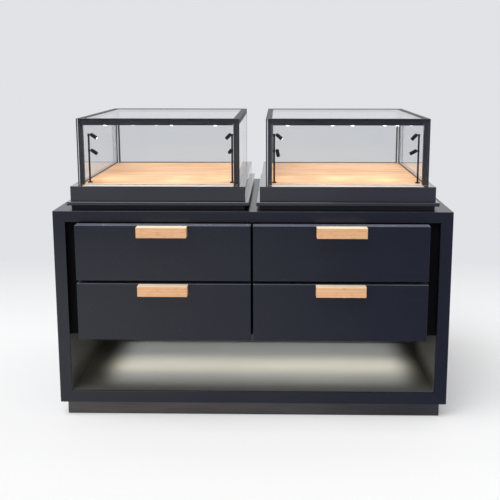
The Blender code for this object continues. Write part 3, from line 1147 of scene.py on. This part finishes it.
@dataclass
class Stand(Assembly):
    """What carries a hood: the recessed foot, the flange, the base with a pale strip of painted light on it,
    and the oak deck.
    """

    side: Side = Side.LEFT
    foot_ease: float = 0.5 * MM
    flange_ease: float = 2.0 * MM
    base_ease: float = 1.0 * MM
    deck_ease: float = 0.5 * MM
    deck_gap: float = 0.3 * MM
    lit_strip_height: float = 0.2 * MM
    lit_strip_margin: float = 1.2 * MM
    lit_strip_ease: float = 0.1 * MM
    post_width: float = 12.0 * MM

    def build(self) -> list[Piece]:
        """Model the stand from the foot up.

        Returns:
            The finished pieces.
        """
        return [
            self.slab("foot", "stand_foot", FOOT_BLACK, self.foot_ease, steps=3),
            self.slab("flange", "stand_flange", ANTHRACITE, self.flange_ease, steps=3),
            self.base(),
            self.slab("deck", "show_board", DECK_LAMPLIT_OAK, self.deck_ease, steps=2),
            self.sill(),
        ]

    def slab(self, part: str, name: str, finish: Finish, width: float, steps: int) -> Piece:
        """Round the edges of a flat part of the stand.

        Args:
            part: The word foot, flange or deck.
            name: What the piece is called.
            finish: Its finish.
            width: How far the rounding reaches.
            steps: Facets of the rounding.

        Returns:
            The slab.
        """
        node = f"{self.side.value}_vitrine_{part}"
        slab = Bench.block(f"{self.side.value}_{name}", Span.of(node))
        return self.fit(Bench.ease(slab, width, steps), finish, node)

    def base(self) -> Piece:
        """Sink a pocket for the deck into the base.

        Returns:
            The base.
        """
        node = f"{self.side.value}_vitrine_base"
        span = Span.of(node)
        pocket = Span.of(f"{self.side.value}_vitrine_deck").drawn_in(-self.deck_gap)
        base = Bench.block(f"{self.side.value}_stand_base", span)
        Bench.score(base, pocket)
        Bench.pull(base, looks(UP, where=pocket.covers), DOWN * (span.high.z - pocket.low.z + self.deck_gap))
        Bench.clean(base)
        Bench.ease(base, self.base_ease, steps=3, test=lambda edge: not pocket.covers(middle_of(edge)))
        return self.fit(base, ANTHRACITE, node)

    def sill(self) -> Piece:
        """Lay a pale strip on the base before the front pane, as long as the opening between the posts:
        painted light, for the light from inside the hood on the base top.

        Returns:
            The strip.
        """
        base = Span.of(f"{self.side.value}_vitrine_base")
        pane = Span.of(f"{self.side.value}_hood_front_pane")
        opening = Span.of(f"{self.side.value}_hood_frame").drawn_in(self.post_width)
        strip = opening.between(
            y=(base.low.y + self.lit_strip_margin, pane.low.y),
            z=(base.high.z, base.high.z + self.lit_strip_height),
        )
        sill = Bench.block(f"{self.side.value}_stand_sill", strip)
        return self.fit(Bench.ease(sill, self.lit_strip_ease, steps=1, test=runs(Axis.X)), PAINTED_LIGHT_SATIN)


# Where the lenses lie along each light bar, as shares of its length
LENS_PLACES = {
    Side.LEFT: {Glow.LIT: (0.145, 0.59, 0.885), Glow.FAINT: (0.332, 0.49)},
    Side.RIGHT: {Glow.LIT: (0.10, 0.40, 0.53, 0.745, 0.83), Glow.FAINT: (0.92,)},
}
# The upper spot heads whose lenses show their light
LIT_HEADS = {(Side.LEFT, Corner.OUTER), (Side.LEFT, Corner.INNER), (Side.RIGHT, Corner.INNER)}


@dataclass
class Hood(Assembly):
    """A glass hood: its black frame, its five panes, its slim trim with pale strips of painted highlight and
    painted light, and the light bar under the front rail.
    """

    side: Side = Side.LEFT
    rail: float = 12.0 * MM
    rail_height: float = 16.0 * MM
    rebate: float = 6.0 * MM
    rebate_depth: float = 5.3 * MM
    frame_ease: float = 0.6 * MM
    glass_arris: float = 0.5 * MM
    cap: float = 1.0 * MM
    cap_ease: float = 0.25 * MM
    edge_strip: float = 1.0 * MM
    edge_line: float = 3.4 * MM
    strip_ease: float = 0.25 * MM
    post_highlight_depth: float = 0.6 * MM
    post_highlight_margin: float = 3.5 * MM
    post_highlight_ease: float = 0.2 * MM
    side_band: float = 0.4 * MM
    band_ease: float = 0.1 * MM
    seal_width: float = 2.0 * MM
    seal_height: float = 1.8 * MM
    seal_ease: float = 0.5 * MM
    bar_groove: float = 1.0 * MM
    bar_sink: float = 0.8 * MM
    lens_length: float = 9.0 * MM
    lens_width: float = 5.0 * MM
    lens_drop: float = 1.6 * MM
    lens_ease: float = 0.8 * MM

    def __post_init__(self) -> None:
        """Take the body's name from the hood's side."""
        self.body = f"{self.side.value}_hood"

    def build(self) -> list[Piece]:
        """Model the frame, the panes, the trim and the light bar with its lenses.

        Returns:
            The finished pieces.
        """
        panes = [self.pane(place) for place in Pane]
        trims = [self.cap_ring(), *self.strips(), *self.bands(), *self.post_highlights(), *self.seals()]
        lenses = [self.lenses(glow) for glow in Glow]
        cage = self.cage()
        node = f"{self.body}_led_bar"
        bar = Bench.trough(f"{self.body}_light_bar", Span.of(node), DOWN, self.bar_groove, self.bar_sink)
        return [*panes, *trims, *lenses, cage, self.fit(bar, BLACK_STEEL, node)]

    def lay(
        self, name: str, finish: Finish, *spans: Span, width: float, steps: int = 2, test: Test = every
    ) -> Piece:
        """Lay one or more strips with eased edges on the hood, as one piece."""
        strips = [Bench.ease(Bench.block(f"{self.body}_{name}", span), width, steps, test) for span in spans]
        return self.fit(Bench.join(f"{self.body}_{name}", strips), finish)

    @property
    def outline(self) -> Span:
        """The box round the hood, outside its panes."""
        return Span(Span.of(f"{self.body}_left_pane").low, Span.of(f"{self.body}_right_pane").high)

    @property
    def posts(self) -> Span:
        """The box round the black frame."""
        return Span.of(f"{self.body}_frame")

    def cage(self) -> Piece:
        """Sink the top pane's rebate into a flat ring, open it and draw four posts down from its corners.

        Returns:
            The black frame.
        """
        span = self.posts
        rail_z = span.high.z - self.rail_height
        ring = Span(Vector((span.low.x, span.low.y, rail_z)), span.high + DOWN * self.cap)
        rebate, hole = ring.drawn_in(self.rebate), ring.drawn_in(self.rail)
        cage = Bench.block(f"{self.body}_cage", ring)
        Bench.score(cage, rebate, hole)
        Bench.pull(cage, looks(UP, where=rebate.covers), DOWN * self.rebate_depth)
        Bench.bore(cage, hole)
        Bench.pull(cage, looks(DOWN, where=hole.misses), DOWN * (rail_z - span.low.z))
        Bench.clean(cage)
        return self.fit(Bench.ease(cage, self.frame_ease), BLACK_STEEL, f"{self.body}_frame")

    def pane(self, place: Pane) -> Piece:
        """Take the arris off a pane of glass, and leave room for the trim round it.

        Args:
            place: Where the pane is.

        Returns:
            The pane.
        """
        node = f"{self.body}_{place.value}_pane"
        span = Span.of(node)
        low, high = span.low.copy(), span.high - Vector((0, 0, self.cap))
        if place in (Pane.LEFT, Pane.RIGHT):
            low.y += self.edge_strip
        if place is Pane.LEFT:
            low.x += self.side_band
        if place is Pane.RIGHT:
            high.x -= self.side_band
        pane = Bench.block(f"{self.body}_{place.value}_glass", Span(low, high))
        return self.fit(Bench.ease(pane, self.glass_arris, steps=1), FLOAT_GLASS, node)

    def cap_ring(self) -> Piece:
        """Bore a thin plate out to a ring that covers the frame and the edges of all panes.

        Returns:
            The cap ring.
        """
        top = self.outline.high.z
        plate = self.outline.between(z=(top - self.cap, top))
        ring = Bench.ring(f"{self.body}_cap_ring", plate, self.posts.drawn_in(self.rail), self.cap_ease)
        return self.fit(ring, BLACK_STEEL)

    def strips(self) -> list[Piece]:
        """Set upright strips on the side panes' front edges: a pale strip in a dark line at the left, which
        is a painted highlight of the light caught on that edge, and else dark.

        Returns:
            The strips.
        """
        whole = self.outline
        left, right = Span.of(f"{self.body}_left_pane"), Span.of(f"{self.body}_right_pane")
        line_x = left.low.x + self.edge_line
        front_ends = (whole.low.y, whole.low.y + self.edge_strip)
        front = whole.between(y=front_ends, z=(whole.low.z, whole.high.z - self.cap))
        strips = (
            # The pale strip is a painted highlight
            ("pale_strip", PAINTED_HIGHLIGHT_STRIP, (line_x, left.high.x)),
            ("left_strip", BLACK_STEEL, (left.low.x, line_x)),
            ("right_strip", BLACK_STEEL, (right.low.x, right.high.x)),
        )
        return [
            self.lay(name, finish, front.between(x=ends), width=self.strip_ease, test=runs(Axis.Z))
            for name, finish, ends in strips
        ]

    def bands(self) -> list[Piece]:
        """Lay thin black bands outside the side panes, along their tops and down their back edges.

        Returns:
            The bands of the two sides.
        """
        whole = self.outline
        low, high, top = whole.low, whole.high, whole.high.z - self.cap
        under_rail = top - self.rail_height
        along = whole.between(y=(low.y + self.edge_strip, high.y), z=(under_rail, top))
        behind = whole.between(y=(high.y - self.edge_line, high.y), z=(low.z, under_rail))
        bands = {
            "left_band": (low.x, low.x + self.side_band),
            "right_band": (high.x - self.side_band, high.x),
        }
        made = []
        for name, ends in bands.items():
            plates = (along.between(x=ends), behind.between(x=ends))
            made.append(self.lay(name, BLACK_STEEL, *plates, width=self.band_ease, steps=1))
        return made

    def post_highlights(self) -> list[Piece]:
        """Set thin pale strips on the inner faces of the back posts, each a painted highlight of a reflection
        on the post.

        Returns:
            The painted highlights.
        """
        low, high, margin = self.posts.low, self.posts.high, self.post_highlight_margin
        face_y, rail_z = high.y - self.rail, high.z - self.rail_height
        back = self.posts.between(y=(face_y - self.post_highlight_depth, face_y), z=(low.z, rail_z))
        post_highlights = {
            "left_back_inlay": (low.x + margin, low.x + self.rail - margin),
            "right_back_inlay": (high.x - self.rail + margin, high.x - margin),
        }
        # Painted highlights: pale strips where the glossy back posts reflect light
        return [
            self.lay(name, PAINTED_HIGHLIGHT_STRIP, back.between(x=ends), width=self.post_highlight_ease, test=runs(Axis.Z))
            for name, ends in post_highlights.items()
        ]

    def seals(self) -> list[Piece]:
        """Lay a slim seal along the foot of each upright pane, from post to post.

        Returns:
            The three brown runs as one piece, and the pale run at the front, which is painted light from the
            hood's light bar.
        """
        low, high, width = self.posts.low, self.posts.high, self.seal_width
        foot = self.posts.drawn_in(self.rail).between(z=(low.z, low.z + self.seal_height))
        back, front = foot.between(y=(high.y - width, high.y)), foot.between(y=(low.y, low.y + width))
        left, right = foot.between(x=(low.x, low.x + width)), foot.between(x=(high.x - width, high.x))
        brown = self.lay("seal", SEAL_RUBBER, back, left, right, width=self.seal_ease)
        # The pale front run is painted light, where the hood's light falls on the pane's foot
        return [brown, self.lay("front_seal", PAINTED_HIGHLIGHT_STRIP, front, width=self.seal_ease)]

    def lenses(self, glow: Glow) -> Piece:
        """Set small rounded lenses under the light bar.

        Args:
            glow: How the lenses shine.

        Returns:
            All lenses of the kind, as one piece.
        """
        bar = Span.of(f"{self.body}_led_bar")
        half = Vector((self.lens_length, self.lens_width, 0)) / 2
        lenses = []
        for share in LENS_PLACES[self.side][glow]:
            top = Vector((bar.low.x + share * bar.size.x, bar.middle.y, bar.low.z + self.bar_sink))
            bottom = top + DOWN * self.lens_drop
            lens = Bench.block(f"{self.body}_{glow.value}_lens", Span(bottom - half, top + half))
            Bench.smooth(Bench.ease(lens, self.lens_ease, steps=3, test=runs(Axis.X, Axis.Y)))
            lenses.append(lens)
        joined = Bench.join(f"{self.body}_{glow.value}_lenses", lenses)
        return self.fit(joined, LENS_GLOW if glow is Glow.LIT else LENS_DIM)


def joint_of(body: str) -> dict:
    """The joint that moves a body."""
    return next(joint for joint in frame["joints"] if joint["child"] == body)


def aim_of(body: str) -> tuple[Vector, Vector]:
    """Where a spot head turns and where it points.

    Args:
        body: The head's body.

    Returns:
        The pivot and the direction.
    """
    pivot = Vector(joint_of(body)["pos_m"])
    vertices = frame["nodes"][f"{body}_head"].data.vertices
    middle = sum((vertex.co for vertex in vertices), Vector()) / len(vertices)
    return pivot, (middle - pivot).normalized()


@dataclass
class LightPost(Assembly):
    """A thin post at a front corner of a deck."""

    side: Side = Side.LEFT
    corner: Corner = Corner.OUTER
    disc_height: float = 3.0 * MM
    disc_edge: float = 0.6 * MM
    rod: float = 2.8 * MM
    collar: float = 3.5 * MM
    collar_height: float = 7.0 * MM
    collar_edge: float = 0.4 * MM
    sides: int = 32

    def build(self) -> list[Piece]:
        """Turn the post: foot disc, rod and a collar at each head.

        Returns:
            The finished post, alone in a list.
        """
        name = f"{self.side.value}_{self.corner.value}"
        span = Span.of(f"{name}_spot_post")
        disc, top = span.size.x / 2, self.disc_height
        neck = self.collar - self.collar_edge
        profile = [(0, 0), (disc, 0), (disc, top - self.disc_edge)]
        profile += [(disc - self.disc_edge, top), (self.rod, top)]
        for level in (Level.LOWER, Level.UPPER):
            middle = joint_of(f"{name}_{level.value}_spot")["pos_m"][2] - span.low.z
            low, high = middle - self.collar_height / 2, middle + self.collar_height / 2
            profile += [(self.rod, low), (neck, low), (self.collar, low + self.collar_edge)]
            profile += [(self.collar, high - self.collar_edge), (neck, high)]
            profile.append((self.rod if level is Level.LOWER else 0, high))
        post = Bench.turn(f"{name}_light_post", profile, self.sides)
        Bench.seat(post, Vector((span.middle.x, span.middle.y, span.low.z)), UP)
        return [self.fit(post, SPOT_BLACK, f"{name}_spot_post")]


@dataclass
class SpotHead(Assembly):
    """A small spot head that tilts on its post, with its lens."""

    side: Side = Side.LEFT
    corner: Corner = Corner.OUTER
    level: Level = Level.UPPER
    radius: float = 5.6 * MM
    length: float = 20.0 * MM
    edge: float = 0.6 * MM
    groove: float = 0.5 * MM
    groove_places: tuple[float, float] = (0.3, 0.42)
    rim: float = 0.8 * MM
    recess: float = 1.0 * MM
    lens_rise: float = 1.2 * MM
    ball_steps: int = 6
    dome_steps: int = 4
    sides: int = 32

    def __post_init__(self) -> None:
        """Take the body's name from the head's place."""
        self.body = f"{self.side.value}_{self.corner.value}_{self.level.value}_spot"

    def build(self) -> list[Piece]:
        """Turn the head and its lens, and point them as the frame does.

        Returns:
            The finished pieces.
        """
        place = aim_of(self.body)
        barrel = Bench.seat(Bench.turn(f"{self.body}_barrel", self.barrel_profile(), self.sides), *place)
        lens = Bench.seat(Bench.turn(f"{self.body}_lens", self.lens_profile(), self.sides), *place)
        glows = self.level is Level.UPPER and (self.side, self.corner) in LIT_HEADS
        head = self.fit(barrel, SPOT_BLACK, f"{self.body}_head")
        return [head, self.fit(lens, LENS_DIM if glows else LENS_OFF)]

    @property
    def end(self) -> float:
        """How far the barrel reaches from the pivot."""
        return self.length - self.lens_rise

    @property
    def mouth(self) -> float:
        """The radius of the recess that holds the lens."""
        return self.radius - self.edge - self.rim

    def barrel_profile(self) -> Profile:
        """Draw half the barrel: ball end, two grooves, rim and recess.

        Returns:
            The points, as (radius, height).
        """
        angles = [pi / 2 * step / self.ball_steps for step in range(self.ball_steps + 1)]
        points = [(self.radius * sin(angle), -self.radius * cos(angle)) for angle in angles]
        inner = self.radius - self.groove
        for share in self.groove_places:
            start = self.length * share
            points += [(self.radius, start), (inner, start), (inner, start + self.groove)]
            points.append((self.radius, start + self.groove))
        points += [(self.radius, self.end - self.edge), (self.radius - self.edge, self.end)]
        floor = self.end - self.recess
        return [*points, (self.mouth, self.end), (self.mouth, floor), (0, floor)]

    def lens_profile(self) -> Profile:
        """Draw half the lens, a dome that stands out of the recess.

        Returns:
            The points, as (radius, height).
        """
        turns = [pi / 2 * step / self.dome_steps for step in range(self.dome_steps)]
        dome = [(self.mouth * cos(turn), self.end + self.lens_rise * sin(turn)) for turn in turns]
        floor = self.end - self.recess
        return [(0, floor), (self.mouth, floor), *dome, (0, self.length)]


def hang(data: bpy.types.ID, place: Numbers, turn: Numbers) -> Piece:
    """Put a lamp or the camera into the scene.

    Args:
        data: Its settings, whose name it takes.
        place: Where it goes.
        turn: How it is turned.

    Returns:
        Its object.
    """
    made = bpy.data.objects.new(data.name, data)
    bpy.context.scene.collection.objects.link(made)
    made.location = place
    made.rotation_euler = turn
    return made


@dataclass(frozen=True)
class Beam:
    """A broad lamp under the niche's ceiling, whose light is kept to a narrow fan straight down."""

    name: str
    depth: float
    setback: float
    spread: float
    power: float
    colour: Colour


@dataclass(frozen=True)
class Cone:
    """The light of a small spot lamp: its power, how far it opens and how soft its rim is."""

    power: float
    opening: float
    softness: float


# The strip's own pool of light on the niche floor, and the softer light that the metal throws about
NICHE_BEAMS = (
    Beam("niche_lamp", depth=0.135, setback=0.012, spread=radians(50), power=2.15, colour=(1.0, 0.94, 0.82)),
    Beam(
        "niche_fill_lamp", depth=0.39, setback=0.048, spread=radians(44), power=3.6, colour=(0.92, 0.96, 1.0)
    ),
)
HEAD_CONE = Cone(power=0.07, opening=radians(70), softness=0.8)
LENS_CONE = Cone(power=1.3, opening=radians(36), softness=1.0)


@dataclass
class Lamps:
    """The lamps of the cabinet, which move with what carries them."""

    colour: Colour = (1.0, 0.92, 0.82)
    bar_power: float = 0.38
    bar_tilt: float = radians(12)
    bar_width: float = 6.0 * MM
    bar_gap: float = 1.0 * MM
    wash_power: float = 0.16
    wash_margin: float = 4.0 * MM
    lens_tilt: float = radians(36)
    lens_gap: float = 3.0 * MM
    head_reach: float = 22.0 * MM
    bulb: float = 3.0 * MM
    niche_length: float = 0.955
    niche_shift: float = 0.018

    def build(self) -> None:
        """Hang the lamps of both hoods, of the upper spot heads and of the niche."""
        for side in Side:
            self.bar_lamp(f"{side.value}_hood")
            self.wash_lamp(f"{side.value}_hood")
            self.lens_lamps(side)
            for corner in Corner:
                self.head_lamp(f"{side.value}_{corner.value}_{Level.UPPER.value}_spot")
        for beam in NICHE_BEAMS:
            self.niche_lamp(beam)

    @staticmethod
    def panel(name: str, place: Numbers, size: Numbers, power: float, colour: Colour) -> Piece:
        """Make an area lamp that shines down.

        Args:
            name: Its name.
            place: Where it hangs.
            size: Its size along X and Y.
            power: Its power in watts.
            colour: Its colour.

        Returns:
            The lamp.
        """
        light = bpy.data.lights.new(name, "AREA")
        light.shape = "RECTANGLE"
        light.size, light.size_y = size
        light.energy = power
        light.color = colour
        return hang(light, place, (0, 0, 0))

    def spot(self, name: str, body: str, place: Vector, aim: Vector, cone: Cone) -> None:
        """Make a small spot lamp that moves with a body.

        Args:
            name: Its name.
            body: The body.
            place: Where it hangs.
            aim: Where it points.
            cone: Its light.
        """
        light = bpy.data.lights.new(name, "SPOT")
        light.energy = cone.power
        light.color = self.colour
        light.spot_size = cone.opening
        light.spot_blend = cone.softness
        light.shadow_soft_size = self.bulb
        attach(hang(light, place, facing(aim)), body)

    @staticmethod
    def hide(lamp: Piece) -> None:
        """Keep a lamp out of sight, also in reflections and through glass."""
        for sight in ("camera", "glossy", "transmission"):
            setattr(lamp, f"visible_{sight}", False)

    def bar_lamp(self, body: str) -> None:
        """Hang a long lamp under a light bar.

        Args:
            body: The hood's body.
        """
        bar = Span.of(f"{body}_led_bar")
        place = (bar.middle.x, bar.middle.y, bar.low.z - self.bar_gap)
        size = (bar.size.x, self.bar_width)
        lamp = self.panel(f"{body}_bar_lamp", place, size, self.bar_power, self.colour)
        lamp.rotation_euler = (self.bar_tilt, 0, 0)
        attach(lamp, body)

    def wash_lamp(self, body: str) -> None:
        """Hang a broad unseen lamp under a hood's top pane, for the even light that all its lenses throw.

        Args:
            body: The hood's body.
        """
        pane = Span.of(f"{body}_top_pane").drawn_in(self.wash_margin)
        place = (pane.middle.x, pane.middle.y, pane.low.z - self.bar_gap)
        lamp = self.panel(f"{body}_wash_lamp", place, pane.size.xy, self.wash_power, self.colour)
        self.hide(lamp)
        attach(lamp, body)

    def lens_lamps(self, side: Side) -> None:
        """Put a narrow spot lamp under each lit lens of a light bar, for its pool of light on the deck.

        Args:
            side: The side of the hood.
        """
        body = f"{side.value}_hood"
        bar = Span.of(f"{body}_led_bar")
        aim = Vector((0, sin(self.lens_tilt), -cos(self.lens_tilt)))
        for number, share in enumerate(LENS_PLACES[side][Glow.LIT]):
            place = Vector((bar.low.x + share * bar.size.x, bar.middle.y, bar.low.z - self.lens_gap))
            self.spot(f"{body}_lens_lamp_{number}", body, place, aim, LENS_CONE)

    def head_lamp(self, body: str) -> None:
        """Put a spot lamp in front of a head's lens."""
        pivot, aim = aim_of(body)
        self.spot(f"{body}_lamp", body, pivot + aim * self.head_reach, aim, HEAD_CONE)

    def niche_lamp(self, beam: Beam) -> None:
        """Hang an unseen lamp under the niche's ceiling.

        Args:
            beam: Its size, place and light.
        """
        strip = Span.of("niche_led_strip")
        place = strip.middle + Vector((self.niche_shift, beam.setback, -strip.size.z))
        lamp = self.panel(beam.name, place, (self.niche_length, beam.depth), beam.power, beam.colour)
        lamp.data.spread = beam.spread
        self.hide(lamp)
        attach(lamp, "cabinet")


@dataclass
class Studio:
    """The pale floor, the soft light and the camera."""

    floor_size: float = 40.0
    floor_drop: float = 0.2 * MM
    floor_roughness: float = 0.9
    near: Colour = (0.925, 0.927, 0.935)
    far: Colour = (0.76, 0.765, 0.79)
    dusk: Colour = (0.22, 0.24, 0.40)
    dusk_far: float = 0.8
    fade_behind: tuple[float, float] = (0.45, 1.7)
    fade_before: tuple[float, float] = (0.0, -0.45)
    fade_ahead: tuple[float, float] = (-2.2, -3.4)
    fade_across: tuple[float, float] = (-0.7, 0.7)
    own_glow: float = 0.25
    sky: float = 0.45
    key_power: float = 2.25
    key_spread: float = radians(50)
    key_from: tuple[float, float, float] = (-0.5, -0.55, 1.4)
    lens: float = 57.6
    nearest: float = 0.05
    shift: tuple[float, float] = (-0.028, -0.09)
    eye: tuple[float, float, float] = (0.078, -2.669, 1.081)
    yaw: float = -0.0181
    pitch: float = 0.1725

    def build(self) -> None:
        """Lay the floor, light the room and set the camera up."""
        self.floor()
        self.world()
        self.key()
        self.camera()
        bpy.context.scene.view_settings.view_transform = "Standard"

    def floor(self) -> None:
        """Lay a pale floor that greys behind the object and at its front right, with lightened shadows."""
        bpy.ops.object.select_all(action="DESELECT")
        bpy.ops.mesh.primitive_plane_add(size=self.floor_size, location=(0, 0, -self.floor_drop))
        floor = Bench.named("studio_floor")
        paper = bpy.data.materials.new("pale paper")
        paper.use_nodes = True
        recipe = Recipe(paper.node_tree)
        tone = self.floor_tone(recipe)
        shader = paper.node_tree.nodes["Principled BSDF"]
        recipe.feed(shader, {"Base Color": tone, "Roughness": self.floor_roughness})
        recipe.feed(shader, {"Specular IOR Level": 0.0})
        glow = recipe.add("Emission", {"Color": tone, "Strength": 1.0})
        lift = recipe.spread(recipe.parted()["Y"], self.fade_behind, self.own_glow, 1.0)
        recipe.send("Material Output", recipe.maths("MULTIPLY", recipe.seen(), lift), shader, glow)
        floor.data.materials.append(paper)

    def floor_tone(self, recipe: Recipe) -> Socket:
        """Blend the floor's tones: greyer far off, and at its front right where a surface mirrors it.

        Args:
            recipe: The floor's node tree.

        Returns:
            The tone.
        """
        place = recipe.parted()
        pale = recipe.blend(recipe.spread(place["Y"], self.fade_behind), opaque(self.near), opaque(self.far))
        ahead = recipe.spread(place["Y"], self.fade_ahead, high=self.dusk_far)
        across = recipe.spread(place["X"], self.fade_across)
        before = recipe.spread(place["Y"], self.fade_before)
        mirrored = recipe.add("LightPath", {}).outputs["Is Glossy Ray"]
        flagged = recipe.maths("MULTIPLY", mirrored, recipe.maths("MULTIPLY", before, across))
        return recipe.blend(recipe.maths("MAXIMUM", flagged, ahead), pale, opaque(self.dusk))

    def world(self) -> None:
        """Light the room softly from all round, and show the far floor's tone behind the object."""
        world = bpy.data.worlds.new("studio")
        bpy.context.scene.world = world
        world.use_nodes = True
        recipe = Recipe(world.node_tree)
        backdrop = world.node_tree.nodes["Background"]
        recipe.feed(backdrop, {"Color": opaque(self.far), "Strength": 1.0})
        light = recipe.add("Background", {"Color": (1, 1, 1, 1), "Strength": self.sky})
        recipe.send("World Output", recipe.seen(), light, backdrop)

    def key(self) -> None:
        """Hang a broad soft light at the upper left front."""
        light = bpy.data.lights.new("key", "SUN")
        light.energy = self.key_power
        light.angle = self.key_spread
        hang(light, (0, 0, 0), facing(Vector(self.key_from), "Z"))

    def camera(self) -> None:
        """Stand the camera where the photograph was taken."""
        camera = bpy.data.cameras.new("camera")
        camera.lens = self.lens
        camera.shift_x, camera.shift_y = self.shift
        camera.clip_start = self.nearest
        level = cos(self.pitch)
        ahead = Vector((sin(self.yaw) * level, cos(self.yaw) * level, -sin(self.pitch)))
        bpy.context.scene.camera = hang(camera, self.eye, facing(ahead))


def main() -> None:
    """Build every sub-assembly in order, then the studio, and report each piece."""
    logging.basicConfig(level=logging.INFO, format="%(name)s: %(message)s")
    assemblies: list[Assembly] = [Carcass(), Niche()]
    assemblies += [Drawer(level=level, side=side) for level in Level for side in Side]
    for side in Side:
        assemblies += [Stand(side=side), Hood(side=side)]
        for corner in Corner:
            assemblies.append(LightPost(side=side, corner=corner))
            assemblies += [SpotHead(side=side, corner=corner, level=level) for level in Level]
    for assembly in assemblies:
        for piece in assembly.build():
            LOG.info("%s, %d faces", piece.name, len(piece.data.polygons))
    Lamps().build()
    Studio().build()


if __name__ == "__main__":
    main()
